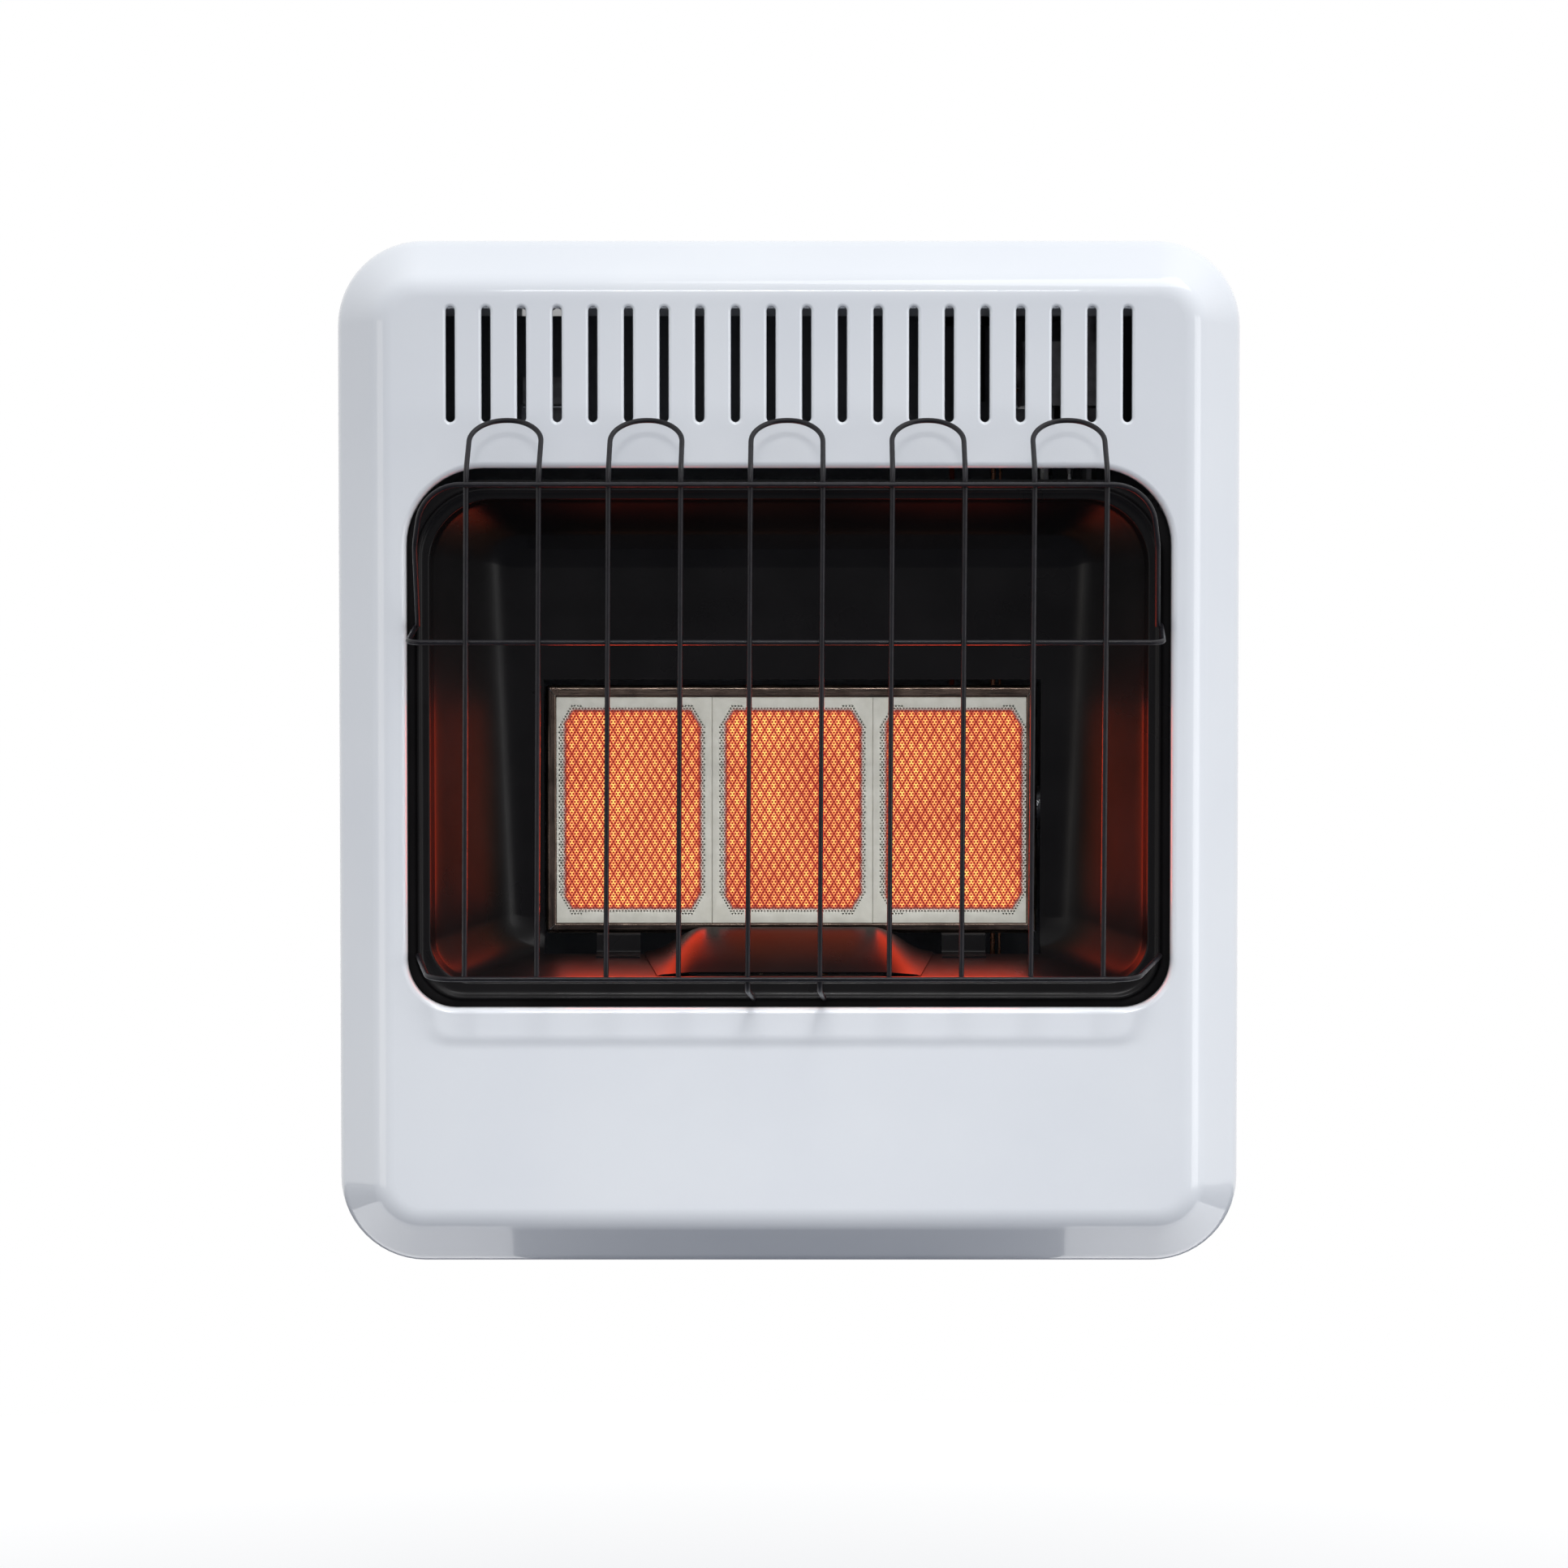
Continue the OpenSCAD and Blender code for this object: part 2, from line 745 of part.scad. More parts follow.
module pan_shell() {
    front = pan_rings(0, 0);
    rear = pan_rings(pan_t, pan_t);
    rings = concat(front, reversed(rear));
    count = len(rings[0]);
    last = len(rings) - 1;
    skins = [for (i = [0:last]) if (i != len(front) - 1) i];
    walls = flat([for (i = skins) let (j = (i + 1) % (last + 1))
        flat([for (k = [0:count - 1])
            let (a = i * count + k, b = i * count + (k + 1) % count,
                 c = j * count + k, d = j * count + (k + 1) % count)
            [[a, d, b], [a, c, d]]])]);
    caps = [[for (k = [count - 1:-1:0]) (len(front) - 1) * count + k],
            [for (k = [0:count - 1]) len(front) * count + k]];
    polyhedron(flat(rings), concat(walls, caps));
}

guard_hole_x = window_half - 5.5;
guard_mid_z = window_top - 87.5;
guard_low_z = window_low + 28.6;
pilot_cut_half = 56;
pan_screw_x = window_half + 3.5;
pan_screw_zs = [window_low + 60, window_top - 60];

module reflector_pan() {
    cut_y = plaque_y - 9.6;
    color("black")
        in_frame()
            difference() {
                pan_shell();
                // the burner shows through this opening
                translate([burner_x - aperture_half, cut_y, panel_low - 8])
                    cube([2 * aperture_half, 40, aperture_top - panel_low + 8]);
                // the pilot stands in this one, under its hood
                translate([-pilot_cut_half, flange_y + riser_d + 4, wall_low - 10])
                    cube([2 * pilot_cut_half, pan_d, riser_h + 18]);
                for (side = [-1, 1]) {
                    for (z = [guard_mid_z, guard_low_z])
                        translate([side * guard_hole_x, flange_y, z])
                            facing_front()
                                cylinder(h = 10, r = wire_r + 0.35, center = true);
                    for (z = pan_screw_zs)
                        translate([side * pan_screw_x, flange_y, z])
                            facing_front()
                                cylinder(h = 10, r = pan_clear_r, center = true);
                }
            }
}

// Height of the pan's floor at depth y
function floor_z(y) = lerp(wall_low + riser_h, panel_low - 2,
                           (y - flange_y - riser_d) / (pan_back_y - 7 - flange_y - riser_d));

// The raised hood over the pilot: a ramp whose cheeks slope down to flanges on the floor
hood_half = 53;
hood_cheek = 14;
hood_flange = 6;
hood_top = window_low + 41;
hood_front_y = flange_y + riser_d + 1;
hood_back_y = plaque_y - 8;

function hood_section(y, top, half, cheek, r) =
    let (base = floor_z(y) + pan_t + fit, wide = half + cheek,
         line = [[-wide - hood_flange, base], [-wide, base], [-half, top], [half, top], [wide, base],
                 [wide + hood_flange, base]])
    [for (p = folded_points(line, [0, r, r, r, r, 0], -pan_t, 4)) [p[0], y, p[1]]];

module pilot_hood() {
    front = hood_section(hood_front_y, floor_z(hood_front_y) + 3.5, hood_half + 4, 4, 2);
    back = hood_section(hood_back_y, hood_top, hood_half, hood_cheek, 6);
    count = len(front);
    walls = flat([for (k = [0:count - 1]) let (j = (k + 1) % count)
        [[k, j, count + j], [k, count + j, count + k]]]);
    // the ends are strips between the sheet's two faces
    ends = flat([for (k = [0:count / 2 - 2]) let (m = count - 1 - k)
        [[k + 1, k, m], [k + 1, m, m - 1], [count + k, count + k + 1, count + m - 1],
         [count + k, count + m - 1, count + m]]]);
    color("black")
        in_frame()
            polyhedron(concat(front, back), concat(walls, ends));
}

// ---------------------------------------------------------------- guard

guard_top_z = window_top - 10.9;
guard_bottom_z = window_low + 20.3;
hoop_bend_z = window_top - 3;
hoop_bend_r = 14;
hoop_lean = 46;
hoop_foot_r = 6;
weld = 0.15;
wire_step = 2 * wire_r - weld;

// One leg of a hoop, up to where its top bends back, and the radius at each of its points. The middle hoop
// has feet that run back down to the bead of the pan.
function hoop_leg(x, foot) =
    concat(foot ? [[x, flange_y - flange_bead - wire_r - fit, window_low + 4.6]] : [],
           [[x, guard_y, guard_bottom_z - (foot ? hoop_foot_r : 0)], [x, guard_y, hoop_bend_z]]);

function leg_bends(foot) = foot ? [0, hoop_foot_r, hoop_bend_r] : [0, hoop_bend_r];

// A hoop: up the left leg, round the bent-back top, and down the right leg
module hoop(x, foot) {
    half = hoop_w / 2;
    top_y = guard_y + hoop_top_h * tan(hoop_lean);
    top_z = hoop_bend_z + hoop_top_h;
    top_r = half - 0.5;
    tube(concat(hoop_leg(x - half, foot), [[x - half, top_y, top_z], [x + half, top_y, top_z]],
                reversed(hoop_leg(x + half, foot))),
         wire_r, concat(leg_bends(foot), [top_r, top_r], reversed(leg_bends(foot))), 10, 6);
}

module guard_hoops() {
    middle = (hoop_count - 1) / 2;
    color("dimgray")
        in_frame()
            for (i = [0:hoop_count - 1])
                hoop((i - middle) * hoop_pitch, i == middle);
}

// The top wire's ends run back down to the arms of the middle wire, and are welded to them
module guard_top_wire() {
    y = guard_y - wire_step;
    corner_x = window_half - 15;
    shoulder = [window_half - 10, y + 10, guard_top_z - 32];
    end = [guard_hole_x - 0.8 * wire_step, flange_y - 17, guard_mid_z];
    color("dimgray")
        in_frame()
            tube([[-end[0], end[1], end[2]], [-shoulder[0], shoulder[1], shoulder[2]],
                  [-corner_x, y, guard_top_z], [corner_x, y, guard_top_z], shoulder, end], wire_r, 24, 10, 6);
}

// A level wire whose ends run back to the holes in the pan's flange; splay is how far they lean inwards
module stay_wire(y, z, hole_z, splay, bend) {
    front = guard_hole_x - splay;
    end_y = flange_y + 5;
    tube([[-guard_hole_x, end_y, hole_z], [-guard_hole_x, flange_y - 6, hole_z], [-front, y, z], [front, y, z],
          [guard_hole_x, flange_y - 6, hole_z], [guard_hole_x, end_y, hole_z]], wire_r, bend, 10, 6);
}

module guard_middle_wire() {
    color("dimgray")
        in_frame()
            stay_wire(guard_y + wire_step, guard_mid_z - 9.2, guard_mid_z, 1, 7);
}

module guard_bottom_wire() {
    color("dimgray")
        in_frame()
            stay_wire(guard_y - wire_step, guard_bottom_z, guard_low_z, 14, 14);
}

// ---------------------------------------------------------------- burner

// Grooves of the burning face, its margins from the plaque's edges and its cut corners
groove_w = 0.8;
groove_d = 0.8;
field_x = 4.6;
field_z = 4;
field_chamfer = 9;
groove_angle = 30;

module field_outline() {
    w = plaque_w / 2 - field_x;
    h = plaque_h / 2 - field_z;
    c = field_chamfer;
    polygon([[-w, c - h], [c - w, -h], [w - c, -h], [w, c - h],
             [w, h - c], [w - c, h], [c - w, h], [-w, h - c]]);
}

// Crossed grooves that leave the raised diamonds of the burning face
module grooves() {
    reach = plaque_h / 2 + plaque_w / 2;
    count = ceil(reach / groove_pitch);
    for (lean = [-groove_angle, groove_angle])
        for (i = [-count:count])
            rotate(lean)
                translate([i * groove_pitch * cos(groove_angle) - groove_w / 2, -reach])
                    square([groove_w, 2 * reach]);
}

module plaque(place) {
    color("wheat")
        in_frame()
            translate([burner_x + place * plaque_pitch, 0, burner_z])
                difference() {
                    from_front(plaque_y, plaque_t)
                        square([plaque_w, plaque_h], center = true);
                    from_front(plaque_y - 1, 1 + groove_d)
                        intersection() {
                            field_outline();
                            grooves();
                        }
                }
}

module plaque_left() { plaque(-1); }
module plaque_middle() { plaque(0); }
module plaque_right() { plaque(1); }

// Ceramic fibre behind the plaques' edges, and above and below them
module plaque_gasket() {
    inner = box_half - box_t - fit;
    low = box_low + box_t + fit;
    high = box_high - box_t - fit;
    back = plaque_y + plaque_t;
    ledge = 9;
    color("ivory")
        in_frame()
            translate([burner_x, 0, 0]) {
                from_front(back + fit, 1.9)
                    difference() {
                        translate([-inner, low])
                            square([2 * inner, high - low]);
                        translate([-inner + ledge, low + ledge])
                            square([2 * (inner - ledge), high - low - 2 * ledge]);
                    }
                for (z = [low, high - gasket_h + fit])
                    translate([-inner, plaque_y + 1, z])
                        cube([2 * inner, plaque_t, gasket_h - fit]);
            }
}

module box_outline(grow) {
    translate([-box_half - grow, box_low - grow])
        square([2 * (box_half + grow), box_high - box_low + 2 * grow]);
}

module burner_box() {
    depth = ledge_y - plaque_y + box_t;
    inset = 10;
    color("silver")
        in_frame()
            difference() {
                translate([burner_x, 0, 0])
                    union() {
                        from_front(plaque_y, depth)
                            box_outline(0);
                        from_front(ledge_y, chamber_y - ledge_y)
                            box_outline(-inset);
                    }
                translate([burner_x, 0, 0]) {
                    from_front(plaque_y - 1, ledge_y - plaque_y + 1)
                        box_outline(-box_t);
                    from_front(ledge_y - 1, chamber_y - ledge_y - box_t + 1)
                        box_outline(-inset - box_t);
                }
                translate([burner_x + box_half - 30, tube_y, burner_z])
                    rotate([0, 90, 0])
                        cylinder(h = 60, r = throat_r + 0.1);
            }
}

// Bright frame over the plaques' edges: four strips folded from one, mitred at the corners
module burner_frame() {
    side = 5.2;
    top = 6;
    low = 5;
    skirt = 13;
    slit = 0.7;
    out = [[-frame_half, frame_low], [frame_half, frame_low],
           [frame_half, frame_high], [-frame_half, frame_high]];
    in = [[-frame_half + side, frame_low + low], [frame_half - side, frame_low + low],
          [frame_half - side, frame_high - top], [-frame_half + side, frame_high - top]];
    color("gainsboro")
        in_frame()
            translate([burner_x, 0, 0])
                difference() {
                    from_front(frame_y, skirt)
                        polygon(out);
                    from_front(frame_y - 1, skirt + 2)
                        polygon(in);
                    from_front(frame_y + frame_t, skirt)
                        translate([-box_half - 0.05, box_low - 0.05])
                            square([2 * box_half + 0.1, box_high - box_low + 0.1]);
                    for (i = [0:3])
                        let (v = in[i] - out[i])
                        from_front(frame_y - 1, 1 + frame_t)
                            translate(out[i] + unit(v) * 1)
                                rotate(atan2(v[1], v[0]))
                                    translate([0, -slit / 2])
                                        square([norm(v) + 2, slit]);
                }
}

throat_r = 13;
bell_r = 17;

// Venturi: bell mouth, throat and a tube that opens out inside the burner box
module mixing_tube() {
    start = burner_x - box_half + 60;
    length = bell_x - start;
    line = [[bell_r, 0], [throat_r - 1, 16], [throat_r, 40], [throat_r, length]];
    color("silver")
        in_frame()
            translate([bell_x, tube_y, burner_z])
                rotate([0, -90, 0])
                    rotate_extrude()
                        folded(line, [0, 10, 10, 0], box_t);
}

module burner_injector() {
    tip = 10;
    body_h = 10;
    jet_r = 0.8;
    color("goldenrod")
        in_frame()
            translate([injector_x, tube_y, burner_z])
                rotate([0, 90, 0])
                    difference() {
                        union() {
                            hexagon(13, body_h);
                            translate([0, 0, -tip])
                                cylinder(h = tip, r1 = 3, r2 = 5);
                            translate([0, 0, body_h])
                                cylinder(h = 3, r = burner_tube_r + 1.6);
                        }
                        translate([0, 0, -tip - 1])
                            cylinder(h = tip + 2, r = jet_r);
                        translate([0, 0, 1])
                            cylinder(h = 30, r = burner_tube_r + fit);
                    }
}

// A folded bracket that carries the burner above the pan's floor
module burner_bracket(x) {
    foot = pan_d * 0.2;
    y1 = plaque_y - 4;
    base = floor_z(y1) - 1.6;
    color("dimgray")
        in_frame()
            across(x, 25)
                folded([[y1 - foot, floor_z(y1 - foot) - 1.4], [y1, base], [y1, frame_low],
                        [y1 + 16, frame_low]], [0, 1.5, 1.5, 0], -1.2);
}

module burner_bracket_left() { burner_bracket(burner_x - 99.5); }
module burner_bracket_right() { burner_bracket(burner_x + 98); }

// ---------------------------------------------------------------- valve and knob

// Valve body: width, depth, how far it reaches left of the spindle, and the heights of the magnet
// housing and the thermostat cap above its bottom
valve_w = 55;
valve_d = 40;
valve_left = 41;
valve_corner_r = 6;
magnet_out = 7.5;
magnet_z = 20;
cap_z = 17;
port_h = 9;

// The tubes the valve feeds: position and radius
valve_ports = [[drop_burner, burner_tube_r], [drop_supply, supply_r], [drop_pilot, pilot_tube_r]];

module valve_body() {
    x0 = knob_x - valve_left;
    color("lightgray")
        in_frame()
            difference() {
                union() {
                    translate([x0, control_y - valve_d / 2, valve_low])
                        linear_extrude(valve_h)
                            plate_outline(valve_w, valve_d, valve_corner_r);
                    // neck under the panel, and the threaded end through it
                    translate([knob_x, control_y, valve_top - 1])
                        cylinder(h = well_floor - sheet_t - valve_top + 1, r = neck_r + 3);
                    translate([knob_x, control_y, valve_top])
                        cylinder(h = well_floor + 4.4 - valve_top, r = neck_r);
                    // magnet housing with its nut
                    translate([x0 + 1, control_y, valve_low + magnet_z])
                        rotate([0, -90, 0]) {
                            cylinder(h = 5, r = 9);
                            cylinder(h = magnet_out + 1, r = 5);
                        }
                    // thermostat cap at the back, adjusting screws at the front
                    translate([x0 + 20, control_y + valve_d / 2 - 1, valve_low + cap_z])
                        rotate([-90, 0, 0])
                            cylinder(h = 8, r = 13);
                    for (x = [12, 40])
                        translate([x0 + x, control_y - valve_d / 2 + 1, valve_low + 12])
                            facing_front()
                                cylinder(h = 4, r = 4);
                    for (port = valve_ports)
                        translate([port[0][0], port[0][1], line_top])
                            hexagon(2 * port[1] + 7, port_h);
                }
                translate([knob_x, control_y, plunger_top - plunger_head - knob_travel - 2])
                    cylinder(h = 80, r = spindle_r + fit);
                translate([knob_x, control_y, plunger_top - plunger_len - knob_travel - 1])
                    cylinder(h = 10, r = plunger_r + fit);
                for (port = valve_ports)
                    translate([port[0][0], port[0][1], line_top - 1])
                        cylinder(h = port_h - 2, r = port[1] + fit);
            }
}

module plate_outline(w, d, r) {
    translate([r, 0])
        square([w - 2 * r, d]);
    translate([0, r])
        square([w, d - 2 * r]);
    for (x = [r, w - r])
        for (y = [r, d - r])
            translate([x, y])
                circle(r);
}

module valve_nut() {
    color("silver")
        in_frame()
            translate([knob_x, control_y, well_floor])
                difference() {
                    hexagon(17, 4);
                    translate([0, 0, -1])
                        cylinder(h = 6, r = neck_r + fit);
                }
}

plunger_r = 2.5;
plunger_len = 7;
plunger_head = 2;
plunger_top = valve_top - 22;

module valve_plunger() {
    color("silver")
        in_frame()
            translate([knob_x, control_y, 0]) {
                translate([0, 0, plunger_top - plunger_len])
                    cylinder(h = plunger_len, r = plunger_r);
                translate([0, 0, plunger_top - plunger_head])
                    cylinder(h = plunger_head, r = spindle_r - fit);
            }
}

spindle_flat = 1.2;

module valve_spindle() {
    top = knob_top - 5;
    color("silver")
        in_frame()
            difference() {
                translate([knob_x, control_y, plunger_top + fit])
                    cylinder(h = top - plunger_top - fit, r = spindle_r);
                translate([knob_x - 5, control_y + spindle_r - spindle_flat, hub_low + bore_low])
                    cube([10, 5, 30]);
            }
}

// Knob: flutes of the grip, the hollow over the neck's nut, the grip and the dial skirt
grip_count = 24;
flute_r = 1.4;
nut_clear_r = 11.5;
nut_clear_h = 6;
grip_r = knob_r - 3;
skirt_h = 5;
pointer_w = 1.6;
bore_low = 7;

// Turned body with a dial skirt, fluted grip, pointer slot and a D-shaped bore
module control_knob() {
    color("black")
        in_frame()
            translate([knob_x, control_y, hub_low])
                difference() {
                    rotate_extrude()
                        polygon([[0, nut_clear_h], [nut_clear_r, nut_clear_h], [nut_clear_r, 0], [knob_r, 0],
                                 [knob_r, skirt_h - 1], [grip_r + 0.6, skirt_h], [grip_r, knob_h - 1.2],
                                 [grip_r - 1.2, knob_h], [0, knob_h]]);
                    for (i = [0:grip_count - 1])
                        rotate(360 * (i + 0.5) / grip_count)
                            translate([grip_r + 0.9, 0, skirt_h + 1])
                                cylinder(h = knob_h - skirt_h - 3, r = flute_r, $fn = 16);
                    difference() {
                        translate([0, 0, 1])
                            cylinder(h = knob_h - 6, r = spindle_r + fit);
                        translate([-5, spindle_r - spindle_flat + fit, bore_low])
                            cube([10, 5, 30]);
                    }
                    translate([-pointer_w / 2, 3 - grip_r, knob_h - 1])
                        cube([pointer_w, 7, 3]);
                }
}

// ---------------------------------------------------------------- igniter

igniter_r = 9;
igniter_len = 50;
terminal_len = 6;
collar_top = well_floor + 2.5;
button_top = collar_top + button_travel + 2;
button_low = collar_top - 17;

module igniter_body() {
    color("black")
        in_frame()
            translate([button_x, control_y, 0])
                difference() {
                    union() {
                        translate([0, 0, well_floor - igniter_len])
                            cylinder(h = igniter_len + 1, r = igniter_r);
                        translate([0, 0, well_floor])
                            cylinder(h = collar_top - well_floor, r = igniter_r + 3);
                        translate([0, 0, well_floor - igniter_len - terminal_len])
                            cylinder(h = terminal_len + 1, r = 2.5);
                    }
                    translate([0, 0, button_low - button_travel - 3.5])
                        cylinder(h = 40, r = button_r + 0.08);
                }
}

module igniter_nut() {
    color("black")
        in_frame()
            translate([button_x, control_y, well_floor - sheet_t - 5])
                difference() {
                    hexagon(24, 5);
                    translate([0, 0, -1])
                        cylinder(h = 7, r = igniter_r + fit);
                }
}

module igniter_button() {
    color("red")
        in_frame()
            translate([button_x, control_y, 0]) {
                translate([0, 0, button_low])
                    cylinder(h = button_top - 1 - button_low, r = button_r);
                translate([0, 0, button_top - 1 - eps])
                    cylinder(h = 1, r1 = button_r, r2 = button_r - 1);
            }
}

// ---------------------------------------------------------------- pilot

// The pilot's plate, the spacing of the three parts that stand in it and their holes, and how far
// the electrode and the thermocouple reach below it
pilot_z = wall_low - 22;
pilot_y = plaque_y - 16;
pilot_x = burner_x;
pilot_step = 18;
pilot_hole_r = [3.6, 4.6, 3.6];
stem_r = 3.4;
stem_collar_r = 5;
electrode_foot = 20;
thermocouple_foot = 16;

module pilot_bracket() {
    back = plaque_y - 2.6;
    color("silver")
        in_frame()
            difference() {
                across(pilot_x, 62)
                    folded([[pilot_y - 11, pilot_z], [back, pilot_z], [back, frame_low], [back + 14, frame_low]],
                           [0, 2, 1.5, 0], -1.2);
                for (i = [-1:1])
                    translate([pilot_x + i * pilot_step, pilot_y, pilot_z - 10])
                        cylinder(h = 20, r = pilot_hole_r[i + 1]);
            }
}

module pilot_burner() {
    color("goldenrod")
        in_frame()
            translate([pilot_x, pilot_y, pilot_z])
                difference() {
                    union() {
                        translate([0, 0, -12])
                            cylinder(h = 30, r = 4.5);
                        hexagon(12, 4);
                        translate([0, 0, -14])
                            hexagon(10, 6);
                        translate([-4.5, -1, 14])
                            cube([9, 9, 7]);
                    }
                    translate([0, 0, -15])
                        cylinder(h = 12, r = pilot_tube_r + fit);
                    translate([-3, 2, 15])
                        cube([6, 10, 4.5]);
                }
}

module pilot_electrode() {
    color("white")
        in_frame()
            translate([pilot_x - pilot_step, pilot_y, pilot_z]) {
                translate([0, 0, 6 - electrode_foot])
                    cylinder(h = 32, r = stem_r);
                cylinder(h = 2, r = stem_collar_r);
                translate([0, 0, -electrode_foot])
                    cylinder(h = 7, r = 1.6);
                tube([[0, 0, 16], [0, 0, 24], [7, 1, 27]], 0.9, 3, 8, 4);
            }
}

module thermocouple() {
    color("peru")
        in_frame()
            translate([pilot_x + pilot_step, pilot_y, pilot_z]) {
                translate([0, 0, -thermocouple_foot])
                    cylinder(h = thermocouple_foot + 16, r = stem_r);
                cylinder(h = 2, r = stem_collar_r);
                translate([0, 0, 15])
                    cylinder(h = 10, r = 2.2);
                translate([0, 0, 25 - eps])
                    cylinder(h = 2, r1 = 2.2, r2 = 1);
            }
}

// ---------------------------------------------------------------- tubes and leads

module pilot_tube() {
    x = knob_x + 21;
    color("silver")
        in_frame()
            tube([[drop_pilot[0], drop_pilot[1], line_top + 5], [drop_pilot[0], drop_pilot[1], shield_rear - 28],
                  [x, -104, shield_rear - 62], [x, -104, pilot_z - 4], [x - 26, -112, pilot_z - 54],
                  [pilot_x, pilot_y, pilot_z - 54], [pilot_x, pilot_y, pilot_z - 4]],
                 pilot_tube_r, 9, 8, 4);
}

module thermocouple_lead() {
    x = drop_thermocouple[0];
    tip = knob_x - valve_left - magnet_out;
    color("peru")
        in_frame()
            tube([[tip, control_y, valve_low + magnet_z], [x, control_y, valve_low + magnet_z],
                  [x, drop_thermocouple[1], line_top - 2], [x, drop_thermocouple[1], pilot_z - 20],
                  [pilot_x + pilot_step, pilot_y, pilot_z - 40], [pilot_x + pilot_step, pilot_y, pilot_z - thermocouple_foot]],
                 lead_r, 4, 8, 4);
}

module ignition_lead() {
    x = drop_ignition[0];
    y = drop_ignition[1];
    color("orange")
        in_frame()
            tube([[button_x, control_y, well_floor - igniter_len - terminal_len],
                  [button_x, control_y, well_floor - igniter_len - terminal_len - 8], [x, y, line_top - 10],
                  [x, y, pilot_z - 12], [pilot_x - pilot_step, pilot_y, pilot_z - 46],
                  [pilot_x - pilot_step, pilot_y, pilot_z - electrode_foot]],
                 lead_r, 4, 8, 4);
}

module burner_tube() {
    x = injector_x + 26;
    color("silver")
        in_frame()
            tube([[drop_burner[0], drop_burner[1], line_top + 5], [drop_burner[0], drop_burner[1], shield_rear - 26],
                  [x, tube_y, shield_rear - 68], [x, tube_y, burner_z], [injector_x + 3, tube_y, burner_z]],
                 burner_tube_r, 12, 10, 5);
}

module supply_tube() {
    x = knob_x + 38;
    color("silver")
        in_frame()
            tube([[drop_supply[0], drop_supply[1], line_top + 5],
                  [drop_supply[0], drop_supply[1], shield_rear - 30],
                  [x, regulator_y, shield_rear - 72], [x, regulator_y, regulator_z],
                  [regulator_x + 31, regulator_y, regulator_z]],
                 supply_r, 14, 10, 5);
}

module pressure_regulator() {
    body_r = 26;
    color("silver")
        in_frame()
            translate([regulator_x, regulator_y, regulator_z])
                difference() {
                    union() {
                        rotate([90, 0, 0])
                            rotate_extrude()
                                polygon([[0, -8], [16, -8], [22, -4], [body_r, -2], [regulator_rim_r, -2],
                                         [regulator_rim_r, 2], [body_r, 2], [20, 8], [11, 9], [11, 16], [0, 16]]);
                        rotate([0, 90, 0])
                            cylinder(h = 34, r = supply_r + 3);
                        translate([0, 0, -regulator_foot])
                            cylinder(h = regulator_foot, r = 8);
                    }
                    translate([30, 0, 0])
                        rotate([0, 90, 0])
                            cylinder(h = 10, r = supply_r + fit);
                    translate([0, 0, -regulator_foot - 1])
                        cylinder(h = 12, r = gas_way_r);
                }
}

module regulator_bracket() {
    z = regulator_z + regulator_rim_r + fit;
    color("silver")
        in_frame()
            across(regulator_x, 22)
                folded([[back_y, z + 18], [back_y, z], [regulator_y - 6, z]], [0, 2, 0], -1.5);
}

// Brass coupling whose female thread takes the gas supply from below
module inlet_fitting() {
    top = regulator_z - regulator_foot;
    color("goldenrod")
        in_frame()
            translate([regulator_x, regulator_y, inlet_mouth])
                difference() {
                    hexagon(24, top - inlet_mouth);
                    translate([0, 0, -1])
                        cylinder(h = inlet_len + 1, r = inlet_r);
                    translate([0, 0, inlet_len - 1])
                        cylinder(h = 60, r = gas_way_r);
                }
}

// The room thermostat's bulb lies behind the lower air intakes
bulb_x = -0.3 * cabinet_w;
bulb_y = -26;
bulb_z = 92;
bulb_len = 70;
bulb_r = 4;

module thermostat_bulb() {
    color("peru")
        in_frame()
            translate([bulb_x, bulb_y, bulb_z])
                rotate([0, 90, 0]) {
                    cylinder(h = bulb_len, r = bulb_r);
                    translate([0, 0, bulb_len - eps])
                        cylinder(h = 4, r1 = bulb_r, r2 = 1.6);
                }
}

module bulb_clip() {
    color("silver")
        in_frame()
            across(bulb_x + bulb_len / 2, 14)
                difference() {
                    translate([bulb_y - 5.5, bulb_z - 6])
                        square([back_y - bulb_y + 5.5, 12]);
                    translate([bulb_y, bulb_z])
                        circle(bulb_r + fit);
                    translate([bulb_y - 10, bulb_z - 2.5])
                        square([10, 5]);
                }
}

module capillary_tube() {
    x = drop_capillary[0];
    y = drop_capillary[1];
    color("peru")
        in_frame()
            tube([[x + 12, control_y + valve_d / 2 + 7, valve_low + cap_z],
                  [x + 12, y, valve_low + cap_z], [x, y, line_top],
                  [x, y, bulb_z], [bulb_x + bulb_len + 4, bulb_y, bulb_z]], capillary_r, 4, 8, 4);
}

// ---------------------------------------------------------------- screws

// A pan-head screw pointing along -Z, its head's seat at z = 0
module screw(shank, length) {
    head = shank * 1.9;
    difference() {
        union() {
            cylinder(h = shank * 0.7, r = head);
            translate([0, 0, shank * 0.7 - eps])
                cylinder(h = shank * 0.4, r1 = head, r2 = head * 0.6);
            translate([0, 0, -length])
                cylinder(h = length + eps, r = shank);
        }
        for (a = [0, 90])
            rotate(a)
                translate([-head * 0.55, -0.4, shank * 0.6])
                    cube([head * 1.1, 0.8, 5]);
    }
}

module cover_screws() {
    color("silver")
        in_frame()
            for (x = cover_screw_x)
                translate([x, cover_screw_y, 0])
                    rotate([180, 0, 0])
                        screw(screw_r, 8);
}

module casing_screws() {
    color("silver")
        in_frame()
            for (p = casing_screw_points)
                translate([p[0], p[1] - sheet_t, p[2]])
                    facing_front()
                        screw(screw_r, 7);
}

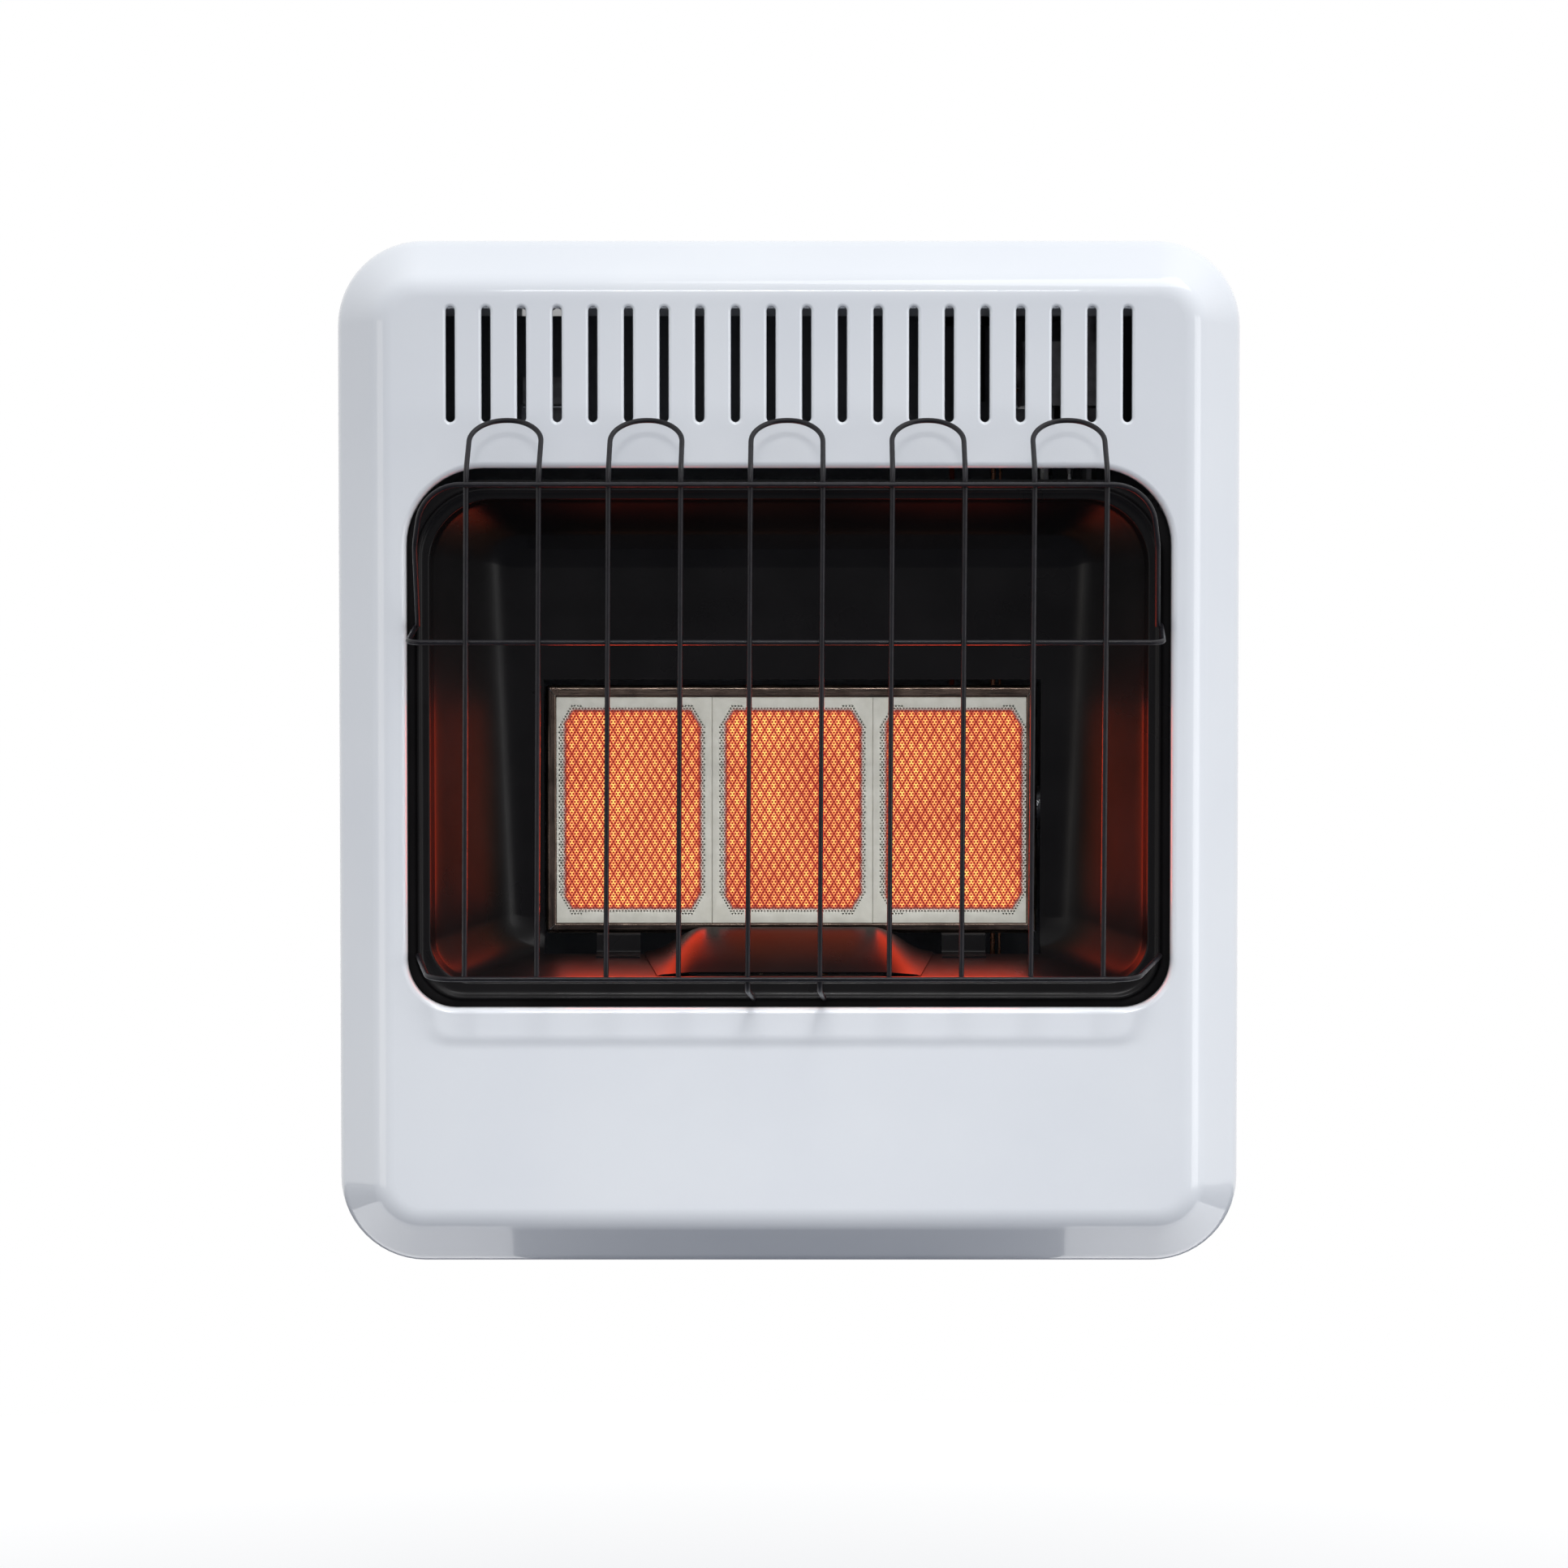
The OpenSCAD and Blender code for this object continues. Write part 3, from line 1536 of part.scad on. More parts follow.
module pan_screws() {
    color("dimgray")
        in_frame()
            for (side = [-1, 1])
                for (z = pan_screw_zs)
                    translate([side * pan_screw_x, flange_y, z])
                        facing_front()
                            screw(pan_screw_r, 7);
}

front_cover();
rear_casing();
wall_bracket();
wall_spacers();
control_panel();
heat_shield();
left_baffle();
right_baffle();
reflector_pan();
pilot_hood();
guard_hoops();
guard_top_wire();
guard_middle_wire();
guard_bottom_wire();
plaque_left();
plaque_middle();
plaque_right();
plaque_gasket();
burner_frame();
burner_box();
mixing_tube();
burner_injector();
burner_bracket_left();
burner_bracket_right();
valve_body();
valve_nut();
valve_plunger();
valve_spindle();
control_knob();
igniter_body();
igniter_nut();
igniter_button();
ignition_lead();
pilot_bracket();
pilot_burner();
pilot_electrode();
thermocouple();
pilot_tube();
thermocouple_lead();
burner_tube();
supply_tube();
pressure_regulator();
regulator_bracket();
inlet_fitting();
thermostat_bulb();
bulb_clip();
capillary_tube();
cover_screws();
casing_screws();
pan_screws();
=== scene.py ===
"""Looks of the wall-mounted gas heater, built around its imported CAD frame."""

import json
import math

import bpy
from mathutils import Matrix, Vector
from mathutils.geometry import delaunay_2d_cdt

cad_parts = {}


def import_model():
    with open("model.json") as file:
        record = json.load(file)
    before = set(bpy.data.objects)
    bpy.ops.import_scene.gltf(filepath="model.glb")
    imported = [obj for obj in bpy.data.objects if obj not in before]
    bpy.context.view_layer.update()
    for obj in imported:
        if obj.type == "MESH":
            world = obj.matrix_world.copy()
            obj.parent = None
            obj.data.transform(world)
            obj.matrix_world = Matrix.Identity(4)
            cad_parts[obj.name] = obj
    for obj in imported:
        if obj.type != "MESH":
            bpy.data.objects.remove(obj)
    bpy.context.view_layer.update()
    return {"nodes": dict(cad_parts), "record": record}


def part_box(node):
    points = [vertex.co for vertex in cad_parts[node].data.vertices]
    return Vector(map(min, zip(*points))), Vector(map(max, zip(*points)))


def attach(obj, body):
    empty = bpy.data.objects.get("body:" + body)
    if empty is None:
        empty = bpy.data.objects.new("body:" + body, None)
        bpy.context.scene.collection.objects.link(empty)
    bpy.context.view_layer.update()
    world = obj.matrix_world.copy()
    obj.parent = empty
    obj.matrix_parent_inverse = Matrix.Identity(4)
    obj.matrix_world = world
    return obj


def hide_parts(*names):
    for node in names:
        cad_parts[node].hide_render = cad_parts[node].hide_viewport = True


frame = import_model()
nodes = frame["nodes"]

# ---------------------------------------------------------------- sizes, in millimetres
# Heights are measured from the lower edge of the front cover, depths from the wall.

MM = 0.001
cover_low, cover_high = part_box("front_cover")
HANG = -cover_low.z / MM
COVER_HALF = cover_high.x / MM
COVER_TOP = cover_high.z / MM + HANG
FACE_Y = cover_low.y / MM
SKIRT_Y = cover_high.y / MM
SHEET = 1.0
BEVEL_W = 26
FACE_RIM = 14
BEVEL_D = 30
COVER_R = 48
COVER_ROLL = 18

WINDOW_HALF = COVER_HALF - 41
WINDOW_LOW = 146.4
WINDOW_TOP = COVER_TOP - 128.8
WINDOW_TOP_R = 43
WINDOW_LOW_R = 27
WINDOW_LIP = 3.6
WINDOW_LIP_D = WINDOW_LIP + 3.5

SLOT_COUNT = 20
SLOT_PITCH = 19.8
SLOT_W = 5
SLOT_LEN = 64
SLOT_DROP = 71.3
SLOT_LIP = 1.9
SLOT_LIP_D = SLOT_LIP + 1.4

FLANGE_Y = FACE_Y + 12
PAN_BACK_Y = FLANGE_Y + 59
WALL_HALF = WINDOW_HALF - 12
WALL_LOW = WINDOW_LOW + 13.6
PAN_TOP = WINDOW_TOP - 6
WALL_TOP = PAN_TOP - 11
PANEL_HALF_TOP = WALL_HALF - 36
PANEL_HALF_LOW = PANEL_HALF_TOP - 9
PANEL_LOW = WALL_LOW + 16
PANEL_TOP = WALL_TOP - 21
CREASE_Z = PANEL_TOP - 68
CROWN_LEAN = 14
RISER_D = 8
RISER_H = 3

BURNER_X = 2
PLAQUE_W = 91.6
PLAQUE_H = 132
PLAQUE_T = 13
PLAQUE_Y = FACE_Y + 68.6
HOLE_PITCH = 1.764
HOLE_R = 0.58
HOLE_DEPTH = 4.0
GROOVE_DEPTH = 0.9

# The bright frame round the plaques: its outside, and the widths of its strips
frame_low, frame_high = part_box("burner_frame")
FRAME_HALF = (frame_high.x - frame_low.x) / 2 / MM
FRAME_LOW = frame_low.z / MM + HANG
FRAME_HIGH = frame_high.z / MM + HANG
FRAME_Y = frame_low.y / MM
FRAME_SKIRT = 13
FRAME_SIDE = 5.2
FRAME_TOP = 6
FRAME_FOOT = 5
MITRE_GAP = 0.35

WIRE_R = 1.45
GUARD_Y = FACE_Y - 48
HOOP_COUNT = 5
HOOP_PITCH = 77.4
HOOP_HALF = 39.5 / 2


def place(x, y, z):
    """A point of the design, in the frame's metres."""
    return Vector((x, y, z - HANG)) * MM


# ---------------------------------------------------------------- shader nodes

MATERIALS = {}


class Nodes:
    """The shader nodes of one tree. An input given as a socket is linked, and any other is set."""

    def __init__(self, tree):
        self.tree = tree

    def add(self, kind, inputs=(), **settings):
        node = self.tree.nodes.new(kind)
        for key, value in settings.items():
            setattr(node, key, value)
        for key, value in dict(inputs).items():
            if isinstance(value, bpy.types.NodeSocket):
                self.tree.links.new(value, node.inputs[key])
            else:
                node.inputs[key].default_value = value
        return node

    def calc(self, operation, *values):
        return self.add("ShaderNodeMath", dict(enumerate(values)), operation=operation).outputs[0]

    def vector(self, operation, a, b, output="Vector"):
        return self.add("ShaderNodeVectorMath", {0: a, 1: b}, operation=operation).outputs[output]

    def mixed(self, factor, a, b):
        """A colour between two others, each of them a socket or (r, g, b)."""
        a, b = (c if isinstance(c, bpy.types.NodeSocket) else (*c, 1) for c in (a, b))
        return self.add("ShaderNodeMix", {"Factor": factor, "A": a, "B": b}, data_type="RGBA").outputs["Result"]

    def ranged(self, value, low, high, to_low=0, to_high=1, **settings):
        return self.add("ShaderNodeMapRange", {
            "Value": value, "From Min": low, "From Max": high, "To Min": to_low, "To Max": to_high,
        }, **settings).outputs["Result"]


class Surface(Nodes):
    """A Principled material whose inputs are driven by procedural nodes in object coordinates."""

    def __init__(self, name, colour, rough, metallic=0.0, level=0.5, coat=0.0, coat_rough=0.05):
        self.name = name
        self.material = bpy.data.materials.new(name)
        self.material.diffuse_color = (*colour, 1)
        self.material.use_nodes = True
        super().__init__(self.material.node_tree)
        self.shader = self.tree.nodes["Principled BSDF"]
        inputs = {"Base Color": (*colour, 1), "Roughness": rough, "Metallic": metallic,
                  "Specular IOR Level": level, "Coat Weight": coat, "Coat Roughness": coat_rough}
        for key, value in inputs.items():
            self.shader.inputs[key].default_value = value
        self.rough = rough
        self.coords = self.add("ShaderNodeTexCoord").outputs["Object"]
        self.heights = []

    def link(self, output, name):
        self.tree.links.new(output, self.shader.inputs[name])

    def stretched(self, scale):
        return self.add("ShaderNodeMapping", {"Vector": self.coords, "Scale": scale}).outputs[0]

    def noise(self, scale, detail=3.0, rough=0.5, coords=None):
        return self.add("ShaderNodeTexNoise", {
            "Vector": coords or self.coords, "Scale": scale, "Detail": detail, "Roughness": rough,
        }).outputs["Fac"]

    def mottle(self, other, scale, low=0.35, high=0.65, detail=4.0, coords=None):
        """Blends the base colour towards another one in soft patches."""
        amount = self.ranged(self.noise(scale, detail, coords=coords), low, high)
        base = self.shader.inputs["Base Color"]
        now = base.links[0].from_socket if base.is_linked else base.default_value[:3]
        self.link(self.mixed(amount, now, other), "Base Color")

    def vary_rough(self, scale, spread, detail=4.0, coords=None):
        value = self.ranged(self.noise(scale, detail, coords=coords), 0.3, 0.7,
                            self.rough - spread, self.rough + spread)
        self.link(value, "Roughness")

    def bump(self, height, strength, distance=0.001):
        """Adds a height field; the bumps are chained in the order of the calls."""
        self.heights.append((height, strength, distance))

    def done(self):
        """Chains the bumps, files the material under its name and returns it."""
        normal = None
        for height, strength, distance in self.heights:
            inputs = {"Height": height, "Strength": strength, "Distance": distance}
            if normal:
                inputs["Normal"] = normal
            normal = self.add("ShaderNodeBump", inputs).outputs["Normal"]
        if normal:
            self.link(normal, "Normal")
        MATERIALS[self.name] = self.material
        return self.material


# ---------------------------------------------------------------- materials


def mottled(name, colour, rough, other, scale, uneven=None, grain=(), patches=(0.35, 0.65), stretch=None, **more):
    """A plain material: two colours in soft patches, an uneven roughness (scale and spread) and its grain. A
    layer of the grain has the settings of its noise, its strength and its depth in metres."""
    s = Surface(name, colour, rough, **more)
    s.mottle(other, scale, *patches)
    coords = s.stretched(stretch) if stretch else None
    if uneven:
        s.vary_rough(*uneven, coords=coords)
    for noise, strength, depth in grain:
        s.bump(s.noise(*noise, coords=coords), strength, depth)
    s.done()


def bright_steel():
    """Bare steel discoloured by heat, with dark streaks drawn along the strips of the burner's frame that are
    partly grain and partly a painted reflection of the dark interior.
    """
    s = Surface("bright_steel", (0.14, 0.105, 0.085), 0.28, metallic=1.0)
    s.mottle((0.085, 0.062, 0.05), 60, 0.45, 0.62)
    from_middle = s.vector("ADD", s.coords, (-BURNER_X * MM, 0, 0))
    across = s.add("ShaderNodeSeparateXYZ", {"Vector": from_middle}).outputs["X"]
    beside = s.calc("GREATER_THAN", s.calc("ABSOLUTE", across), (FRAME_HALF - FRAME_SIDE) * MM)
    lines = s.add("ShaderNodeMix", {
        "Factor": beside, "A": s.stretched((0.25, 6, 6)), "B": s.stretched((6, 6, 0.25)),
    }, data_type="VECTOR").outputs["Result"]
    # dark streaks along the strips: partly grain, partly painted reflection of the dark interior
    s.mottle((0.06, 0.048, 0.04), 150, 0.54, 0.66, 6, lines)
    s.vary_rough(220, 0.12, coords=lines)
    s.bump(s.noise(260, 4, 0.6, lines), 0.2, 0.0003)
    s.bump(s.noise(70, 3), 0.2, 0.0012)
    s.done()


def zinc_steel():
    """Galvanised sheet with its spangle, in greys well below galvanised steel's own tone: painted shade for the
    casing's inside behind the slots and the gap above the window.
    """
    s = Surface("zinc_steel", (0.56, 0.57, 0.59), 0.36, metallic=1.0)
    spangle = s.add("ShaderNodeTexVoronoi", {"Vector": s.coords, "Scale": 230.0}, feature="F1")
    tint = s.add("ShaderNodeSeparateColor", {"Color": spangle.outputs["Color"]}).outputs[0]
    # the spangle's two greys are darker than zinc: painted shade for the casing's inside
    s.link(s.mixed(tint, (0.36, 0.37, 0.39), (0.29, 0.30, 0.32)), "Base Color")
    s.link(s.ranged(tint, 0, 1, 0.33, 0.43), "Roughness")
    s.bump(s.noise(500, 3), 0.15, 0.0002)
    s.done()


HEAT = "ember"
PLAQUE_GLOW = 1.45
# The colour of the glow at each heat, from cold to full
GLOW_STEPS = [(0.0, (0, 0, 0)), (0.2, (0.085, 0.0015, 0.001)), (0.4, (0.15, 0.009, 0.0055)),
              (0.55, (0.36, 0.050, 0.027)), (0.7, (0.72, 0.185, 0.073)), (0.85, (0.95, 0.43, 0.115)),
              (1.0, (1.0, 0.72, 0.155))]


def plaque_ceramic():
    """Porous cordierite whose burning field glows by the heat attribute of its vertices."""
    s = Surface("plaque_ceramic", (0.70, 0.68, 0.60), 0.9, level=0.25)
    s.mottle((0.63, 0.61, 0.53), 120)
    s.bump(s.noise(1500, 4, 0.65), 0.35, 0.0003)
    heat = s.add("ShaderNodeAttribute", attribute_name=HEAT).outputs["Fac"]
    clean = s.shader.inputs["Base Color"].links[0].from_socket
    s.link(s.mixed(s.ranged(heat, 0.08, 0.40), clean, (0.08, 0.03, 0.02)), "Base Color")
    patches = s.ranged(s.noise(26, 2), 0.3, 0.7, 0.90, 1.04)
    flicker = s.ranged(s.noise(330, 2), 0.3, 0.7, 0.93, 1.06)
    ramp = s.add("ShaderNodeValToRGB", {"Fac": s.calc("MULTIPLY", s.calc("MULTIPLY", heat, patches), flicker)})
    band = ramp.color_ramp
    for at, colour in GLOW_STEPS[1:-1]:
        band.elements.new(at).color = (*colour, 1)
    band.elements[0].color = (*GLOW_STEPS[0][1], 1)
    band.elements[-1].color = (*GLOW_STEPS[-1][1], 1)
    s.link(ramp.outputs["Color"], "Emission Color")
    s.shader.inputs["Emission Strength"].default_value = PLAQUE_GLOW
    s.done()


PLASTIC = dict(scale=60, uneven=(120, 0.05), grain=[((2200, 3), 0.35, 0.00012)])
METAL = dict(metallic=1.0)
mottled("white_enamel", (0.83, 0.85, 0.875), 0.42, (0.80, 0.822, 0.855), 9, (30, 0.04),
        [((5, 1.5), 0.35, 0.004), ((650, 2), 0.10, 0.0002)], coat=1.0, coat_rough=0.06)
# casing_paint is a dark grey-blue, far darker than the casing's light grey: painted shade for the dark inside seen
# through the cover's slots
mottled("casing_paint", (0.20, 0.215, 0.24), 0.5, (0.17, 0.185, 0.21), 14, (60, 0.05),
        [((900, 3), 0.25, 0.0002)], coat=0.2, coat_rough=0.3)
mottled("black_enamel", (0.0044, 0.0040, 0.0043), 0.31, (0.0068, 0.0062, 0.0066), 25, (18, 0.05),
        [((45, 2), 0.12, 0.0012), ((1400, 2), 0.12, 0.0001)], level=0.16)
mottled("guard_black", (0.006, 0.0055, 0.0075), 0.38, (0.010, 0.009, 0.012), 160, (300, 0.08),
        [((900, 3), 0.30, 0.0002)], level=0.28)
mottled("die_cast", (0.50, 0.51, 0.52), 0.5, (0.40, 0.40, 0.41), 120, (200, 0.10),
        [((1300, 4), 0.45, 0.0003)], **METAL)
mottled("aluminium_tube", (0.52, 0.53, 0.54), 0.32, (0.42, 0.43, 0.44), 70, (150, 0.08),
        [((700, 3), 0.2, 0.0002)], **METAL)
mottled("brass", (0.68, 0.48, 0.20), 0.28, (0.50, 0.33, 0.13), 90, (60, 0.08),
        [((120, 2), 0.25, 0.0002)], stretch=(1, 1, 30), **METAL)
mottled("copper", (0.72, 0.36, 0.22), 0.3, (0.42, 0.20, 0.12), 80, (140, 0.08),
        [((500, 3), 0.2, 0.0002)], (0.45, 0.7), **METAL)
mottled("white_ceramic", (0.82, 0.80, 0.75), 0.22, (0.72, 0.68, 0.60), 120, None,
        [((400, 2), 0.15, 0.0003)], coat=0.4)
mottled("silicone_lead", (0.45, 0.07, 0.03), 0.5, (0.36, 0.05, 0.02), 90, None, [((900, 2), 0.2, 0.0002)])
mottled("ceramic_fibre", (0.74, 0.72, 0.66), 0.95, (0.60, 0.57, 0.50), 200, None,
        [((1100, 6, 0.7), 0.9, 0.0006)], level=0.2)
mottled("black_plastic", (0.014, 0.014, 0.016), 0.42, (0.02, 0.02, 0.022), **PLASTIC)
mottled("red_plastic", (0.50, 0.012, 0.01), 0.25, (0.42, 0.01, 0.008), **PLASTIC)
mottled("grey_plastic", (0.06, 0.06, 0.065), 0.5, (0.05, 0.05, 0.054), **PLASTIC)
bright_steel()
zinc_steel()
plaque_ceramic()


def finish_cad_nodes():
    """Gives each CAD node the material of its slot in the record."""
    for part in frame["record"]["subparts"]:
        node = nodes[part["node"]]
        node.data.materials.clear()
        node.data.materials.append(MATERIALS[part["material_slot"]])


# ---------------------------------------------------------------- mesh helpers


def add_object(name, data):
    obj = bpy.data.objects.new(name, data)
    bpy.context.scene.collection.objects.link(obj)
    return obj


def make_mesh(name, verts, faces, material, sharp=35):
    """An object from points in metres, smooth up to an angle in degrees."""
    mesh = bpy.data.meshes.new(name)
    mesh.from_pydata(verts, [], faces)
    mesh.validate()
    mesh.shade_smooth()
    mesh.set_sharp_from_angle(angle=math.radians(sharp))
    mesh.materials.append(material)
    return add_object(name, mesh)


def even_normals(obj):
    """Keeps the shading of flat faces flat beside their rounded edges."""
    weighted = obj.modifiers.new("weighted", "WEIGHTED_NORMAL")
    weighted.keep_sharp = True


def thicken(obj, thickness=SHEET):
    """Gives a surface the thickness of its sheet, behind the side that shows."""
    solid = obj.modifiers.new("sheet", "SOLIDIFY")
    solid.thickness = thickness * MM
    solid.offset = -1
    return solid


def evaluated_mesh(obj):
    graph = bpy.context.evaluated_depsgraph_get()
    return bpy.data.meshes.new_from_object(obj.evaluated_get(graph), depsgraph=graph)


def bake_modifiers(obj, sharp):
    """Applies an object's modifiers and evens its normals."""
    mesh = evaluated_mesh(obj)
    mesh.name = obj.name
    obj.modifiers.clear()
    obj.data = mesh
    mesh.shade_smooth()
    mesh.set_sharp_from_angle(angle=math.radians(sharp))
    even_normals(obj)


def install(obj, body, slot, *replaced):
    """Hangs a finished piece on its body, in place of the CAD nodes that it replaces. Its slot is not used."""
    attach(obj, body)
    if replaced:
        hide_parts(*replaced)


def outline(half_low, half_high, low, high, low_r, high_r, steps=14):
    """Closed outline (x, z), anticlockwise from the lower right corner as seen from the front."""
    corners = [
        (half_low - low_r, low + low_r, low_r, -90), (half_high - high_r, high - high_r, high_r, 0),
        (high_r - half_high, high - high_r, high_r, 90), (low_r - half_low, low + low_r, low_r, 180),
    ]
    points = []
    for x, z, r, start in corners:
        for k in range(steps + 1):
            a = math.radians(start + 90 * k / steps)
            points.append((x + r * math.cos(a), z + r * math.sin(a)))
    return points


def ring_at(shape, y):
    return [place(x, y, z) for x, z in shape]


def bridge(count, first, second):
    """Quads between two closed rings of a vertex list, given by their first vertices."""
    return [(first + k, first + (k + 1) % count, second + (k + 1) % count, second + k) for k in range(count)]


def loft(rings):
    """The points and faces of a row of closed rings of equal length."""
    verts = [p for ring in rings for p in ring]
    count = len(rings[0])
    faces = []
    for i in range(len(rings) - 1):
        faces += bridge(count, i * count, (i + 1) * count)
    return verts, faces


def capped(rings):
    """The points and faces of a loft that is closed at both ends."""
    verts, faces = loft(rings)
    n, last = len(rings[0]), len(verts) - len(rings[0])
    return verts, faces + [tuple(range(n - 1, -1, -1)), tuple(range(last, last + n))]


def merged(parts):
    """The points and faces of several parts in one list of each."""
    verts, faces = [], []
    for points, polygons in parts:
        faces += [tuple(len(verts) + k for k in polygon) for polygon in polygons]
        verts += points
    return verts, faces


def grid(rows, turned=False):
    """The points and faces of open rows of points of equal length; turned faces look the other way."""
    n = len(rows[0])
    faces = []
    for i in range(len(rows) - 1):
        for k in range(i * n, i * n + n - 1):
            faces.append((k, k + n, k + n + 1, k + 1) if turned else (k, k + 1, k + n + 1, k + n))
    return [p for row in rows for p in row], faces


def rounded_path(points, radii, steps):
    """A line of points of any dimension, each inner corner rounded by an arc."""
    path = [Vector(points[0])]
    for i in range(1, len(points) - 1):
        a, b, c = Vector(points[i - 1]), Vector(points[i]), Vector(points[i + 1])
        u, v = (a - b).normalized(), (c - b).normalized()
        half = math.acos(max(-1, min(1, u.dot(v)))) / 2
        if radii[i] <= 0 or half > math.radians(89.5):
            path.append(b)
            continue
        centre = b + (u + v).normalized() * (radii[i] / math.sin(half))
        p = (b + u * radii[i] / math.tan(half) - centre).normalized()
        q = (b + v * radii[i] / math.tan(half) - centre).normalized()
        sweep = math.pi - 2 * half
        for k in range(steps + 1):
            t = k / steps
            path.append(centre + radii[i] * (p * math.sin(sweep * (1 - t)) + q * math.sin(sweep * t))
                        / math.sin(sweep))
    path.append(Vector(points[-1]))
    return path


def triangulate(loops, epsilon):
    """Triangles over flat loops of (x, z), anticlockwise from the front; they count through all the loops."""
    points = [Vector(p) for loop in loops for p in loop]
    edges, first = [], 0
    for loop in loops:
        count = len(loop)
        edges += [(first + k, first + (k + 1) % count) for k in range(count)]
        first += count
    found = delaunay_2d_cdt(points, edges, [], 0, epsilon)
    triangles = []
    for face in found[2]:
        a, b, c = (found[3][k][0] for k in face)
        turn = (points[b] - points[a]).cross(points[c] - points[a])
        triangles.append((a, b, c) if turn > 0 else (c, b, a))
    return points, triangles


def fill_between(outer, holes):
    """Triangles of a flat face with holes, which count through its outline and then the holes."""
    loops = [outer, *holes]
    owner = [n for n, loop in enumerate(loops) for _ in loop]
    kept = []
    for triangle in triangulate(loops, 1e-7)[1]:
        owners = {owner[k] for k in triangle}
        if len(owners) > 1 or owners == {0}:
            kept.append(triangle)
    return kept


# ---------------------------------------------------------------- front cover


def slot_outline(x, z, half_w, half_len, steps=8):
    return [(x + px, z + pz) for px, pz in outline(half_w, half_w, -half_len, half_len, half_w, half_w, steps)]


def lip(shape_at, radius, depth, steps):
    """Rings of a rolled edge, from the face back into an opening: shape_at gives the outline for an offset."""
    rings = []
    for k in range(steps + 1):
        a = math.radians(90 * k / steps)
        rings.append(ring_at(shape_at(radius * (1 - math.sin(a))), FACE_Y + radius * (1 - math.cos(a))))
    rings.append(ring_at(shape_at(0), FACE_Y + depth))
    return rings


def cover_profile():
    """The cover's section from its rear edge to its flat face: (inset, depth)."""
    line = [(0, SKIRT_Y), (0, FACE_Y + BEVEL_D), (BEVEL_W, FACE_Y), (BEVEL_W + FACE_RIM, FACE_Y)]
    return rounded_path(line, [0, COVER_ROLL, COVER_ROLL, 0], 8)[:-1]


def front_cover():
    rings = []
    for inset, y in cover_profile():
        half, r = COVER_HALF - inset, COVER_R - inset
        rings.append(ring_at(outline(half, half, inset, COVER_TOP - inset, r, r), y))
    verts, faces = loft(rings)
    count = len(rings[0])
    outer = [(p.x, p.z) for p in rings[-1]]

    openings = [lip(lambda o: outline(WINDOW_HALF + o, WINDOW_HALF + o, WINDOW_LOW - o, WINDOW_TOP + o,
                                      WINDOW_LOW_R + o, WINDOW_TOP_R + o), WINDOW_LIP, WINDOW_LIP_D, 8)]
    for i in range(SLOT_COUNT):
        x = (i - (SLOT_COUNT - 1) / 2) * SLOT_PITCH
        z = COVER_TOP - SLOT_DROP
        openings.append(lip(lambda o: slot_outline(x, z, SLOT_W / 2 + o, SLOT_LEN / 2 + o),
                            SLOT_LIP, SLOT_LIP_D, 6))

    index = list(range(len(verts) - count, len(verts)))
    for opening in openings:
        first = len(verts)
        n = len(opening[0])
        index += range(first, first + n)
        verts += [p for ring in opening for p in ring]
        for k in range(len(opening) - 1):
            faces += bridge(n, first + k * n, first + (k + 1) * n)
    triangles = fill_between(outer, [[(p.x, p.z) for p in opening[0]] for opening in openings])
    faces += [tuple(index[k] for k in t) for t in triangles]

    obj = make_mesh("enamelled_cover", verts, faces, MATERIALS["white_enamel"])
    thicken(obj).use_even_offset = True
    bake_modifiers(obj, 40)
    install(obj, "heater", "white_enamel", "front_cover")


# ---------------------------------------------------------------- reflector pan and hood

# The rings of the pan: half widths low and high, low and high edge, corner radii, depth, and how far the ring
# leans forward above the crease
PAN_SECTIONS = [
    (WINDOW_HALF + 7, WINDOW_HALF + 7, WINDOW_LOW - 7, PAN_TOP, 34, 50, FLANGE_Y, 0),
    (WINDOW_HALF - 3.6, WINDOW_HALF - 3.6, WINDOW_LOW + 2.6, PAN_TOP - 3.6, 27, 41, FLANGE_Y, 0),
    (WINDOW_HALF - 5.8, WINDOW_HALF - 5.8, WINDOW_LOW + 4.8, PAN_TOP - 5.8, 25, 39, FLANGE_Y - 2.3, 0),
    (WINDOW_HALF - 8, WINDOW_HALF - 8, WINDOW_LOW + 7, PAN_TOP - 8, 24, 37, FLANGE_Y, 0),
    (WALL_HALF, WALL_HALF, WALL_LOW, WALL_TOP, 23, 36, FLANGE_Y + 0.2, 0),
    (WALL_HALF - 2.5, WALL_HALF - 2, WALL_LOW + RISER_H - 1, WALL_TOP - 1.5, 23, 35, FLANGE_Y + RISER_D, 0),
    (PANEL_HALF_LOW + 7, PANEL_HALF_TOP + 6, PANEL_LOW - 3, PANEL_TOP + 5, 22, 20, PAN_BACK_Y - 7, CROWN_LEAN),
    (PANEL_HALF_LOW - 7, PANEL_HALF_TOP - 7, PANEL_LOW + 5, PANEL_TOP - 6, 12, 11, PAN_BACK_Y, CROWN_LEAN),
]
# How far the corner at each section is rounded along the loft: 0 is sharp, 0.5 reaches half-way to the next one
PAN_SOFTNESS = [0, 0.4, 0.5, 0.4, 0.22, 0.16, 0.32, 0]
# Half the height of the soft bend at the crease
CREASE_SOFT = 6


def softened(sections, softness, steps):
    """Replaces each inner section by a short curve through its neighbourhood."""
    rows = [Vector(s) for s in sections]
    out = [rows[0]]
    for i in range(1, len(rows) - 1):
        a = rows[i].lerp(rows[i - 1], softness[i])
        b = rows[i].lerp(rows[i + 1], softness[i])
        for k in range(steps + 1):
            t = k / steps
            out.append(a.lerp(rows[i], t).lerp(rows[i].lerp(b, t), t))
    out.append(rows[-1])
    return out


